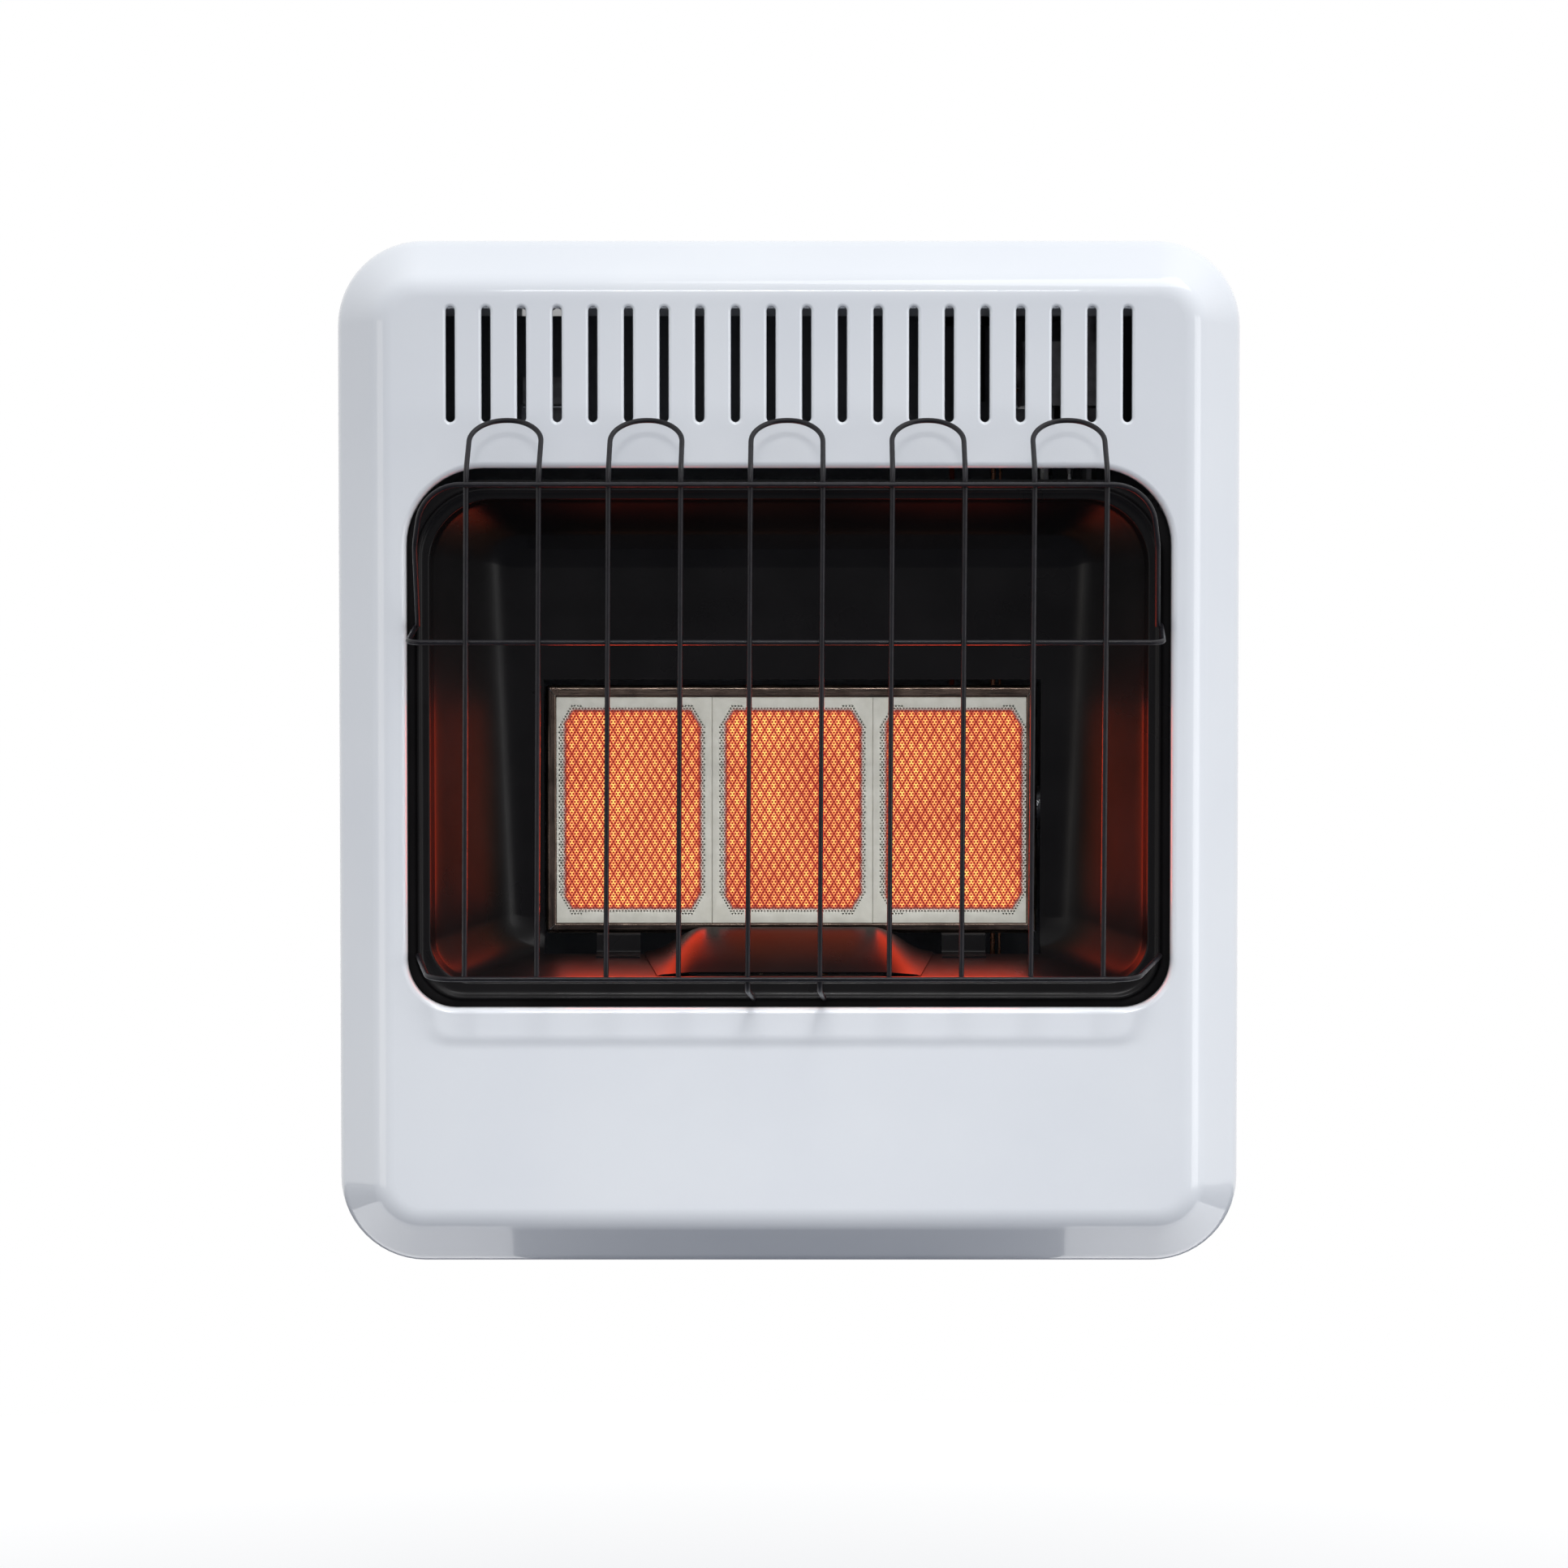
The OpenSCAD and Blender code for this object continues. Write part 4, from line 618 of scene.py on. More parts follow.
def leaning(shape, y, lean):
    """Puts an outline at depth y, leaning forward above the crease with a soft bend."""
    span = PANEL_TOP - CREASE_Z
    points = []
    for x, z in shape:
        over = z - CREASE_Z
        rise = max(0, over) if abs(over) > CREASE_SOFT else (over + CREASE_SOFT) ** 2 / (4 * CREASE_SOFT)
        points.append(place(x, y - lean * rise / span, z))
    return points


def cut_box(obj, low, high):
    """Cuts a box out of a piece. Returns the box, which is removed once the cut is baked."""
    xs, ys, zs = zip(place(*low), place(*high))
    verts = [(x, y, z) for x in xs for y in ys for z in zs]
    faces = [(0, 1, 3, 2), (4, 6, 7, 5), (0, 4, 5, 1), (2, 3, 7, 6), (0, 2, 6, 4), (1, 5, 7, 3)]
    box = make_mesh("cutter", verts, faces, MATERIALS["black_enamel"])
    boolean = obj.modifiers.new("cut", "BOOLEAN")
    boolean.object = box
    boolean.operation = "DIFFERENCE"
    boolean.solver = "EXACT"
    return box


# The boxes that cut the pan's openings for the burner and, below it, for the pilot: two opposite corners of each
PAN_HOLES = (
    ((BURNER_X - FRAME_HALF - 2.5, PLAQUE_Y - 9.6, PANEL_LOW - 8),
     (BURNER_X + FRAME_HALF + 2.5, PLAQUE_Y + 30, FRAME_HIGH + 4.6)),
    ((-56, FLANGE_Y + RISER_D + 4, WALL_LOW - 10), (56, PLAQUE_Y, WALL_LOW + 16)),
)


def reflector_pan():
    rings = [leaning(outline(*s[:6]), s[6], s[7]) for s in softened(PAN_SECTIONS, PAN_SOFTNESS, steps=6)]
    verts, faces = loft(rings)
    count = len(rings[0])
    # the back panel, as quads across it, so that it bends at the crease
    last = len(verts) - count
    half = count // 2
    right = list(range(last, last + half))
    left = list(range(last + count - 1, last + half - 1, -1))
    for a, b, c, d in zip(right, right[1:], left[1:], left):
        faces.append((a, b, c, d))
    obj = make_mesh("enamelled_pan", verts, faces, MATERIALS["black_enamel"])
    thicken(obj)
    boxes = [cut_box(obj, low, high) for low, high in PAN_HOLES]
    bake_modifiers(obj, 35)
    for box in boxes:
        bpy.data.objects.remove(box)
    install(obj, "heater", "black_enamel", "reflector_pan")


def floor_z(y):
    """Height of the pan's floor at depth y."""
    t = (y - FLANGE_Y - RISER_D) / (PAN_BACK_Y - 7 - FLANGE_Y - RISER_D)
    return WALL_LOW + RISER_H + (PANEL_LOW - 2 - WALL_LOW - RISER_H) * t


HOOD_HALF = 55
HOOD_ROUND = 7
HOOD_CHEEK = (12, 26)
HOOD_TOP = WINDOW_LOW + 41
HOOD_FRONT_Y = FLANGE_Y + RISER_D + 0.5
HOOD_BACK_Y = PLAQUE_Y - 8
HOOD_COLUMNS = 72
HOOD_ROWS = 16
# The hood's front edge: its height and how much wider it is than the back edge
HOOD_LIP = 1.2
HOOD_FLARE = 5
# The hood's gap to the pan's floor, and the width and depth over which its feet sink into it
HOOD_LIFT = 0.5
HOOD_FOOT_W = 3
HOOD_FOOT_D = 0.9


def smoothstep(low, high, value):
    t = max(0.0, min(1.0, (value - low) / (high - low)))
    return t * t * (3 - 2 * t)


def hood_section(t):
    """The hood at a share t of its depth: a flat top whose cheeks run out smoothly into the pan's floor."""
    y = HOOD_FRONT_Y + (HOOD_BACK_Y - HOOD_FRONT_Y) * t
    base = floor_z(max(y, FLANGE_Y + RISER_D)) + HOOD_LIFT
    rise = HOOD_LIP + (HOOD_TOP - base - HOOD_LIP) * t
    half = HOOD_HALF + HOOD_FLARE * (1 - t)
    edge = half + HOOD_CHEEK[0] + (HOOD_CHEEK[1] - HOOD_CHEEK[0]) * t
    wide = edge + 2
    points = []
    for k in range(HOOD_COLUMNS + 1):
        x = wide * (2 * k / HOOD_COLUMNS - 1)
        foot = smoothstep(wide - HOOD_FOOT_W, wide, abs(x))
        height = rise * (1 - smoothstep(half - HOOD_ROUND, edge, abs(x)))
        points.append(place(x, y, base + height - HOOD_FOOT_D * foot))
    return points


def pilot_hood():
    verts, faces = grid([hood_section(k / HOOD_ROWS) for k in range(HOOD_ROWS + 1)])
    obj = make_mesh("enamelled_hood", verts, faces, MATERIALS["black_enamel"])
    thicken(obj)
    bake_modifiers(obj, 50)
    install(obj, "heater", "black_enamel", "pilot_hood")


# ---------------------------------------------------------------- wire guard

GUARD_TOP_Z = WINDOW_TOP - 10.9
GUARD_MID_Z = WINDOW_TOP - 87.5
GUARD_MID_SAG = 9.2
GUARD_LOW_Z = WINDOW_LOW + 28.6
GUARD_BOTTOM_Z = WINDOW_LOW + 20.3
GUARD_SHIFT = 1.2
GUARD_SKEW = 0.006
# The ends of the guard stay in their holes; from here forward it hangs free
GUARD_FREE_Y = (FLANGE_Y - 8, FLANGE_Y - 30)
HOLE_X = WINDOW_HALF - 5.5
HOOP_BEND_Z = WINDOW_TOP - 3
HOOP_BEND_R = 14
HOOP_RISE = 28.7
HOOP_LEAN = math.radians(50.8)
FOOT_R = 6
FOOT_Y = FLANGE_Y - 2 - WIRE_R
FOOT_Z = WINDOW_LOW + 4.6
# How far the level wires' ends reach through the flange and run straight before it
END_BEHIND = 5
END_AHEAD = 6
# Where the upper wire meets the middle one, and its knee at each side: inset from the window's edge, behind the
# front and below the top
GUARD_JOIN_Y = FLANGE_Y - 17
GUARD_KNEE = (10, 10, 32)
GUARD_TOP_INSET = 15
WELD = 0.15
WIRE_STEP = 2 * WIRE_R - WELD


def hung(x, y, z):
    """A point of the guard, which hangs a little to the left and askew."""
    free = smoothstep(*GUARD_FREE_Y, y)
    return place(x - free * (GUARD_SHIFT + GUARD_SKEW * (GUARD_TOP_Z - z)), y, z)


def wire(name, lines, bends, replaced):
    """Round wires with bent corners and flat ends, as one curve. Each line has one bend for each point."""
    curve = bpy.data.curves.new(name, "CURVE")
    curve.dimensions = "3D"
    curve.bevel_depth = WIRE_R * MM
    curve.bevel_resolution = 5
    curve.use_fill_caps = True
    for line, radii in zip(lines, bends):
        path = rounded_path(line, radii, 14)
        spline = curve.splines.new("POLY")
        spline.points.add(len(path) - 1)
        for slot, p in zip(spline.points, path):
            slot.co = (*hung(*p), 1)
    curve.materials.append(MATERIALS["guard_black"])
    install(add_object(name, curve), "heater", "guard_black", replaced)


def mirrored(half):
    """A symmetrical line from its left half."""
    return half + [(-x, y, z) for x, y, z in reversed(half)]


def hoop(x, foot):
    """The line of one hoop and its bends; the middle one has feet that run back to the bead of the pan."""
    top = (-HOOP_HALF, GUARD_Y + HOOP_RISE * math.tan(HOOP_LEAN), HOOP_BEND_Z + HOOP_RISE)
    low = GUARD_BOTTOM_Z - (FOOT_R if foot else 0)
    leg = [(-HOOP_HALF, GUARD_Y, low), (-HOOP_HALF, GUARD_Y, HOOP_BEND_Z), top]
    bends = [0, HOOP_BEND_R, HOOP_HALF - 0.5]
    if foot:
        leg.insert(0, (-HOOP_HALF, FOOT_Y, FOOT_Z))
        bends = [0, FOOT_R, *bends[1:]]
    return [(x + px, y, z) for px, y, z in mirrored(leg)], bends + bends[::-1]


def stay(y, z, hole_z, splay, bend):
    """The line of a level wire whose ends run back to the holes in the pan's flange."""
    half = [(-HOLE_X, FLANGE_Y + END_BEHIND, hole_z), (-HOLE_X, FLANGE_Y - END_AHEAD, hole_z)]
    half.append((splay - HOLE_X, y, z))
    return [mirrored(half)], [[bend] * 6]


def wire_guard():
    middle = (HOOP_COUNT - 1) / 2
    lines, bends = zip(*(hoop((i - middle) * HOOP_PITCH, i == middle) for i in range(HOOP_COUNT)))
    wire("guard_upright_wires", lines, bends, "guard_hoops")
    front = GUARD_Y - WIRE_STEP
    inset, behind, below = GUARD_KNEE
    upper = [(0.8 * WIRE_STEP - HOLE_X, GUARD_JOIN_Y, GUARD_MID_Z),
             (inset - WINDOW_HALF, front + behind, GUARD_TOP_Z - below),
             (GUARD_TOP_INSET - WINDOW_HALF, front, GUARD_TOP_Z)]
    wire("guard_upper_wire", [mirrored(upper)], [[24] * 6], "guard_top_wire")
    centre = stay(GUARD_Y + WIRE_STEP, GUARD_MID_Z - GUARD_MID_SAG, GUARD_MID_Z, splay=1, bend=7)
    wire("guard_centre_wire", *centre, "guard_middle_wire")
    lower = stay(front, GUARD_BOTTOM_Z, GUARD_LOW_Z, splay=14, bend=14)
    wire("guard_lower_wire", *lower, "guard_bottom_wire")


# ---------------------------------------------------------------- burner plaques

ROW = HOLE_PITCH * math.sqrt(3) / 2
FIELD_HALF_W = 42.0
FIELD_HALF_H = 58.5
FIELD_CHAMFER_W = 6.9
FIELD_CHAMFER_H = 11.1
CORNER_ROW = 7.6
# Unlit margins of the field: left, right, low, high and by the cut corners
UNLIT = (3.3, 2.2, 1.5, 1.0, 1.6)
GLOW_EDGE = (-1.2, 2.4)
GROOVE_GLOOM = 0.50
# Distances from a groove's line at which its wall starts and ends
GROOVE_WALL = (0.20, 1.0)
# The rings of a hole: share of its radius, depth below the face, glow, and glow lost where it lies in a groove
HOLE_RINGS = ((1.0, 0.05, 0.68, 0.22), (0.85, 0.9, 0.34, 0.06))
HOLE_FLOOR_R = 0.7 * HOLE_R
HOLE_FLOOR_GLOW = 0.16
CELL_R = HOLE_PITCH / math.sqrt(3)
HEX = [math.radians(30 + 60 * k) for k in range(6)]
HEX_NEIGHBOURS = [(1, 0), (0, 1), (-1, 1), (-1, 0), (0, -1), (1, -1)]
# The plain border of a plaque, from its face round its edge to its back: inset and depth
BORDER_RINGS = ((0.2, 0.0), (0.0, 0.1), (-0.12, 0.4), (-0.12, PLAQUE_T))
PLAQUE_NODES = ("plaque_left", "plaque_middle", "plaque_right")


def in_field(u, v):
    """Where the plaque is pierced: a rectangle with its corners cut, and a short extra row by each corner."""
    u, v = abs(u), abs(v)
    tall = FIELD_HALF_H + (ROW if FIELD_HALF_W - FIELD_CHAMFER_W - CORNER_ROW < u else 0)
    cut = (FIELD_HALF_W - u) / FIELD_CHAMFER_W + (FIELD_HALF_H + ROW - v) / FIELD_CHAMFER_H
    return u < FIELD_HALF_W and v < tall and cut > 1


def edge_distance(u, v):
    """Distances from a point to the field's left, right, low and high edge and to its nearest cut corner."""
    cut = ((FIELD_HALF_W - abs(u)) / FIELD_CHAMFER_W + (FIELD_HALF_H - abs(v)) / FIELD_CHAMFER_H - 1)
    cut *= FIELD_CHAMFER_W * FIELD_CHAMFER_H / math.hypot(FIELD_CHAMFER_W, FIELD_CHAMFER_H)
    return FIELD_HALF_W + u, FIELD_HALF_W - u, FIELD_HALF_H + v, FIELD_HALF_H - v, cut


def groove(u, v):
    """Depth share of the crossed grooves at a point: 1 on a groove's line and 0 on a diamond."""
    i = u / HOLE_PITCH - v / (2 * ROW)
    j = u / HOLE_PITCH + v / (2 * ROW)
    near = min(abs(s - 3 * round(s / 3)) for s in (i, j)) * ROW
    return 1 - smoothstep(*GROOVE_WALL, near)


def warmth(u, v):
    """How hot the field is at a point: cold along its edge, full a few holes further in."""
    inside = min(d - cold for d, cold in zip(edge_distance(u, v), UNLIT))
    return smoothstep(*GLOW_EDGE, inside)


def pierced():
    """The holes of the field, on a hexagonal grid: (column, row) and the point of each."""
    rows = int(FIELD_HALF_H / ROW) + 2
    columns = rows + int(FIELD_HALF_W / HOLE_PITCH)
    holes = {}
    for j in range(-rows, rows + 1):
        for i in range(-columns, columns + 1):
            u, v = HOLE_PITCH * (i + j / 2), ROW * j
            if in_field(u, v):
                holes[i, j] = u, v
    return holes


def next_to(cell, k):
    di, dj = HEX_NEIGHBOURS[k % 6]
    return cell[0] + di, cell[1] + dj


def nearest_cell(u, v):
    """The (column, row) of the hexagonal grid nearest to a point."""
    j = round(v / ROW)
    near = [(round(u / HOLE_PITCH - m / 2), m) for m in (j - 1, j, j + 1)]
    return min(near, key=lambda c: math.hypot(HOLE_PITCH * (c[0] + c[1] / 2) - u, ROW * c[1] - v))


def plaque_mesh():
    """The pierced face of one plaque and the block behind it, centred on the origin of its face."""
    verts, faces, heat = [], [], []
    shared = {}

    def add(u, v, deep, glow):
        verts.append((u * MM, deep * MM, v * MM))
        heat.append(glow)
        return len(verts) - 1

    def corner(cell, k, u, v):
        """The point where three cells meet, made once and shared by them."""
        key = (round(u * 50), round(v * 50))
        if key not in shared:
            inside = next_to(cell, k) in cells and next_to(cell, k + 1) in cells
            depth = groove(u, v) if inside else 0
            glow = warmth(u, v) * (1.0 - GROOVE_GLOOM * depth) if inside else 0.0
            shared[key] = add(u, v, depth * GROOVE_DEPTH, glow)
        return shared[key]

    cells = pierced()
    step = {}
    for cell, (u, v) in cells.items():
        rings = [[] for _ in range(2 + len(HOLE_RINGS))]
        field = warmth(u, v)
        for k, a in enumerate(HEX):
            x, z = math.cos(a), math.sin(a)
            rings[0].append(corner(cell, k, u + CELL_R * x, v + CELL_R * z))
            hu, hv = u + HOLE_R * x, v + HOLE_R * z
            depth = groove(hu, hv) * min(1, max(0, min(edge_distance(u, v))) / 2)
            for ring, (share, deep, glow, loss) in zip(rings[1:], HOLE_RINGS):
                ring.append(add(u + share * HOLE_R * x, v + share * HOLE_R * z, depth * GROOVE_DEPTH + deep,
                                field * (glow - loss * depth)))
        rings[-1] = [add(u + HOLE_FLOOR_R * math.cos(a), v + HOLE_FLOOR_R * math.sin(a), HOLE_DEPTH,
                         field * HOLE_FLOOR_GLOW) for a in HEX]
        for k in range(6):
            m = (k + 1) % 6
            faces += [(a[k], a[m], b[m], b[k]) for a, b in zip(rings, rings[1:])]
            if next_to(cell, m) not in cells:
                step[rings[0][k]] = rings[0][m]
        faces.append(tuple(rings[-1]))
    rim = [next(iter(step))]
    while step[rim[-1]] != rim[0]:
        rim.append(step[rim[-1]])

    # the plain border, its rounded edge and the block's sides and back
    half_w, half_h = PLAQUE_W / 2, PLAQUE_H / 2
    rings = []
    for inset, deep in BORDER_RINGS:
        shape = outline(half_w - inset, half_w - inset, inset - half_h, half_h - inset, 1.0, 1.0, 3)
        rings.append([add(x, z, deep, 0) for x, z in shape])
    for a, b in zip(rings, rings[1:]):
        n = len(a)
        faces += [(b[k], b[(k + 1) % n], a[(k + 1) % n], a[k]) for k in range(n)]
    faces.append(tuple(reversed(rings[-1])))
    loops = [[(verts[k][0], verts[k][2]) for k in loop] for loop in (rings[0], rim)]
    points, triangles = triangulate(loops, 1e-9)
    index = rings[0] + rim
    for triangle in triangles:
        middle = sum((points[k] for k in triangle), Vector((0, 0))) / (3 * MM)
        if nearest_cell(*middle) not in cells:
            faces.append(tuple(index[k] for k in triangle))
    return verts, faces, heat


# The mitred frame round the plaques: the photographed one reaches this much further left and higher than the CAD's
FRAME_MORE_LEFT = 1.2
FRAME_MORE_HIGH = 0.8
FRAME_COLUMNS = 24
FRAME_SHEET = 0.5


def frame_strip(width, ends):
    """One folded strip of the frame, from its outer skirt to its rolled inner edge. ends gives, for a share of
    the width, the two ends of the strip's line; each is a point (x, z)."""
    section = [(0, FRAME_SKIRT), (0, 1.5), (1.3, 0.25), (width - 0.5, 0), (width, 0.9)]
    rows = []
    for p in rounded_path(section, [0, 1.0, 2.0, 0.5, 0], 4):
        (x0, z0), (x1, z1) = ends(p.x / width)
        shares = [k / FRAME_COLUMNS for k in range(FRAME_COLUMNS + 1)]
        rows.append([place(x0 + (x1 - x0) * t, FRAME_Y + p.y, z0 + (z1 - z0) * t) for t in shares])
    return grid(rows, turned=True)


def burner_frame():
    """Four strips that meet at open mitres."""
    g = MITRE_GAP
    left, right = BURNER_X - FRAME_HALF - FRAME_MORE_LEFT, BURNER_X + FRAME_HALF
    top = FRAME_HIGH + FRAME_MORE_HIGH
    strips = [
        (FRAME_TOP, lambda t: ((right - FRAME_SIDE * t - g, top - FRAME_TOP * t),
                               (left + FRAME_SIDE * t + g, top - FRAME_TOP * t))),
        (FRAME_FOOT, lambda t: ((left + FRAME_SIDE * t + g, FRAME_LOW + FRAME_FOOT * t),
                                (right - FRAME_SIDE * t - g, FRAME_LOW + FRAME_FOOT * t))),
        (FRAME_SIDE, lambda t: ((left + FRAME_SIDE * t, top - FRAME_TOP * t - g),
                                (left + FRAME_SIDE * t, FRAME_LOW + FRAME_FOOT * t + g))),
        (FRAME_SIDE, lambda t: ((right - FRAME_SIDE * t, FRAME_LOW + FRAME_FOOT * t + g),
                                (right - FRAME_SIDE * t, top - FRAME_TOP * t - g))),
    ]
    verts, faces = merged(frame_strip(width, ends) for width, ends in strips)
    obj = make_mesh("steel_frame", verts, faces, MATERIALS["bright_steel"])
    thicken(obj, FRAME_SHEET)
    bake_modifiers(obj, 40)
    install(obj, "heater", "bright_steel", "burner_frame")


def plaques():
    verts, faces, heat = plaque_mesh()
    for node in PLAQUE_NODES:
        low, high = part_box(node)
        middle = (low + high) / 2
        shift = Vector((middle.x, low.y, middle.z))
        moved = [Vector(v) + shift for v in verts]
        obj = make_mesh("glowing_" + node, moved, faces, MATERIALS["plaque_ceramic"], 50)
        layer = obj.data.attributes.new(HEAT, "FLOAT", "POINT")
        layer.data.foreach_set("value", heat)
        install(obj, "heater", "plaque_ceramic", node)


# ---------------------------------------------------------------- controls

AXIS_R = 0.05  # turned bodies start and end at this radius, next to their axis


def lathe(name, axis, corners, steps, material, columns=96, flutes=0, flute=lambda r, z: 0):
    """A turned body on an upright axis, from the middle of its underside round to the middle of its top. Its
    corners are (radius, height, bend); flute gives the depth of the flutes at a radius and height."""
    profile = rounded_path([corner[:2] for corner in corners], [corner[2] for corner in corners], steps)
    rings = []
    for r, z in profile:
        ring = []
        for k in range(columns):
            a = 2 * math.pi * k / columns
            wide = r - flute(r, z) * max(0.0, -math.cos(flutes * a)) ** 0.8
            ring.append(axis + Vector((wide * math.cos(a), wide * math.sin(a), z)) * MM)
        rings.append(ring)
    obj = make_mesh(name, *capped(rings), material, 40)
    even_normals(obj)
    return obj


def foot_of(node):
    """The middle of a node's underside, and its radius and height in millimetres."""
    low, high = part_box(node)
    size = (high - low) / MM
    return Vector(((low.x + high.x) / 2, (low.y + high.y) / 2, low.z)), size.x / 2, size.z


KNOB_SKIRT_W = 3
KNOB_SKIRT_H = 4.5
KNOB_GRIP_H = 5.2
KNOB_TAPER = 0.8
KNOB_DISH_R = 12.8
KNOB_DISH_RIM = 0.7
KNOB_DISH_D = 0.6
SPINDLE_BORE_R = 4.2
SPINDLE_BORE_H = 14
NUT_HOLLOW_R = 11.5
NUT_HOLLOW_H = 6
KNOB_FLUTES = 24
FLUTE_D = 0.9
# The heights between which the flutes grow and end, and rows of the grip that draw those ends
FLUTE_START = (6.2, 8.0)
FLUTE_END = (16.8, 18.4)
FLUTE_ROWS = (6.4, 7.0, 7.6, 8.2, 16.6, 17.2, 17.8, 18.2)
POINTER_HALF = 0.8
POINTER_Y = (0.3 - KNOB_DISH_R, -5.2)
POINTER_R = 0.6
# The pointer line from its foot to its edge: inset, and depth below the top of the knob
POINTER_ROWS = ((0.0, 0.75), (0.0, 0.45), (0.15, 0.32))


def knob_flute(r, z):
    if r <= KNOB_DISH_R + 1:
        return 0
    return FLUTE_D * smoothstep(*FLUTE_START, z) * (1 - smoothstep(*FLUTE_END, z))


def control_knob():
    axis, r, h = foot_of("control_knob")
    grip = r - KNOB_SKIRT_W
    side = [(grip + KNOB_TAPER * (1 - (z - KNOB_GRIP_H) / (h - KNOB_GRIP_H)), z, 0) for z in FLUTE_ROWS]
    corners = [
        (AXIS_R, SPINDLE_BORE_H, 0), (SPINDLE_BORE_R, SPINDLE_BORE_H, 0), (SPINDLE_BORE_R, NUT_HOLLOW_H, 0),
        (NUT_HOLLOW_R, NUT_HOLLOW_H, 0), (NUT_HOLLOW_R, 0, 0.4), (r, 0, 0.6), (r, KNOB_SKIRT_H, 0.9),
        (grip + KNOB_TAPER, KNOB_GRIP_H, 0.9), *side, (grip, h, 1.5), (KNOB_DISH_R + KNOB_DISH_RIM, h, 0.5),
        (KNOB_DISH_R, h - KNOB_DISH_D, 0.4), (AXIS_R, h - KNOB_DISH_D, 0),
    ]
    obj = lathe("fluted_knob", axis, corners, 5, MATERIALS["black_plastic"], KNOB_FLUTES * 12, KNOB_FLUTES,
                knob_flute)
    install(obj, "knob", "black_plastic", "control_knob")

    # the white line let into its top, which points to the front at rest
    rings = []
    for inset, deep in POINTER_ROWS:
        half = POINTER_HALF - inset
        shape = outline(half, half, POINTER_Y[0] + inset, POINTER_Y[1] - inset, POINTER_R, POINTER_R, 5)
        rings.append([axis + Vector((x, y, h - deep)) * MM for x, y in shape])
    install(make_mesh("knob_pointer_line", *capped(rings), MATERIALS["white_enamel"]), "knob", "white_enamel")


DIAL_R = 22.8
DIAL_STEP = 40
DIAL_TEXTS = ("5", "4", "3", "2", "1", "\u2022", "OFF")
DIGIT_SIZE = 4.2
WORD_SIZE = 3.0
PRINT_T = 0.02
PRINT_LIFT = 0.03


def printed(text, size, at):
    """The points and faces of generic lettering, laid flat on a level surface round a point."""
    curve = bpy.data.curves.new("lettering", "FONT")
    curve.body = text
    curve.size = size * MM
    curve.extrude = PRINT_T * MM
    curve.align_x, curve.align_y = "CENTER", "CENTER"
    obj = add_object("lettering", curve)
    mesh = evaluated_mesh(obj)
    verts = [at + v.co for v in mesh.vertices]
    faces = [tuple(p.vertices) for p in mesh.polygons]
    bpy.data.objects.remove(obj)
    bpy.data.meshes.remove(mesh)
    return verts, faces


def dial_marks():
    """The knob's settings printed round it: 5 at the front, down to off, with a dot for the pilot."""
    axis = foot_of("control_knob")[0]
    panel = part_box("valve_nut")[0].z + PRINT_LIFT * MM
    marks = []
    for k, text in enumerate(DIAL_TEXTS):
        a = math.radians(-90 - DIAL_STEP * k)
        at = Vector((axis.x + DIAL_R * MM * math.cos(a), axis.y + DIAL_R * MM * math.sin(a), panel))
        marks.append(printed(text, WORD_SIZE if len(text) > 1 else DIGIT_SIZE, at))
    install(make_mesh("dial_marks", *merged(marks), MATERIALS["white_enamel"]), "heater", "white_enamel")


BUTTON_DOME = 0.3
BUTTON_GAP = 0.1
TERMINAL_R = 2.5
TERMINAL_H = 6
HOUSING_R = 9
HOUSING_BORE_D = 27.5
COLLAR_H = 2.5
COLLAR_CHAMFER = 0.9


def igniter():
    axis, r, h = foot_of("igniter_button")
    corners = [(AXIS_R, 0, 0), (r, 0, 0.4), (r, h - BUTTON_DOME, 1.2), (AXIS_R, h, 0)]
    button = lathe("red_button", axis, corners, 6, MATERIALS["red_plastic"])
    install(button, "button", "red_plastic", "igniter_button")

    bore = r + BUTTON_GAP
    axis, r, h = foot_of("igniter_body")
    collar = h - COLLAR_H
    corners = [
        (AXIS_R, 0, 0), (TERMINAL_R, 0, 0.3), (TERMINAL_R, TERMINAL_H, 0), (HOUSING_R, TERMINAL_H, 0.5),
        (HOUSING_R, collar, 0), (r, collar, 0.3), (r, h, 0.9), (bore + COLLAR_CHAMFER, h, 0.4),
        (bore, h - COLLAR_CHAMFER, 0.3), (bore, h - HOUSING_BORE_D, 0), (AXIS_R, h - HOUSING_BORE_D, 0),
    ]
    housing = lathe("igniter_housing", axis, corners, 5, MATERIALS["black_plastic"])
    install(housing, "heater", "black_plastic", "igniter_body")


# ---------------------------------------------------------------- camera, light and stage

# The photograph in pixels: its size, its focal length and the column that faces the middle of the heater
PHOTO_SIZE = 1932
FOCAL_PX = 5312.6
CENTRE_X = 972
SENSOR = 36
# The camera: distance from the cover's face and height in millimetres, downward tilt in degrees
CAMERA_FAR = 2400
CAMERA_Z = 363.7
PITCH = 2.2

# The floor, in metres. It turns white to the camera between two shares of its radius, and sooner to the sides
FLOOR_Z = -0.9
FLOOR_RADIUS = 3.4
FLOOR_CENTRE_Y = -1.8
FLOOR_FADE = (0.5, 0.95)
FLOOR_SIDE_STRETCH = 1.6
FLOOR_SEGMENTS = 64
FLOOR_PALE = (0.82, 0.82, 0.82)
FLOOR_BOUNCE = (0.14, 0.15, 0.18)

LIGHT_AIM = (0, -0.15, -0.2)
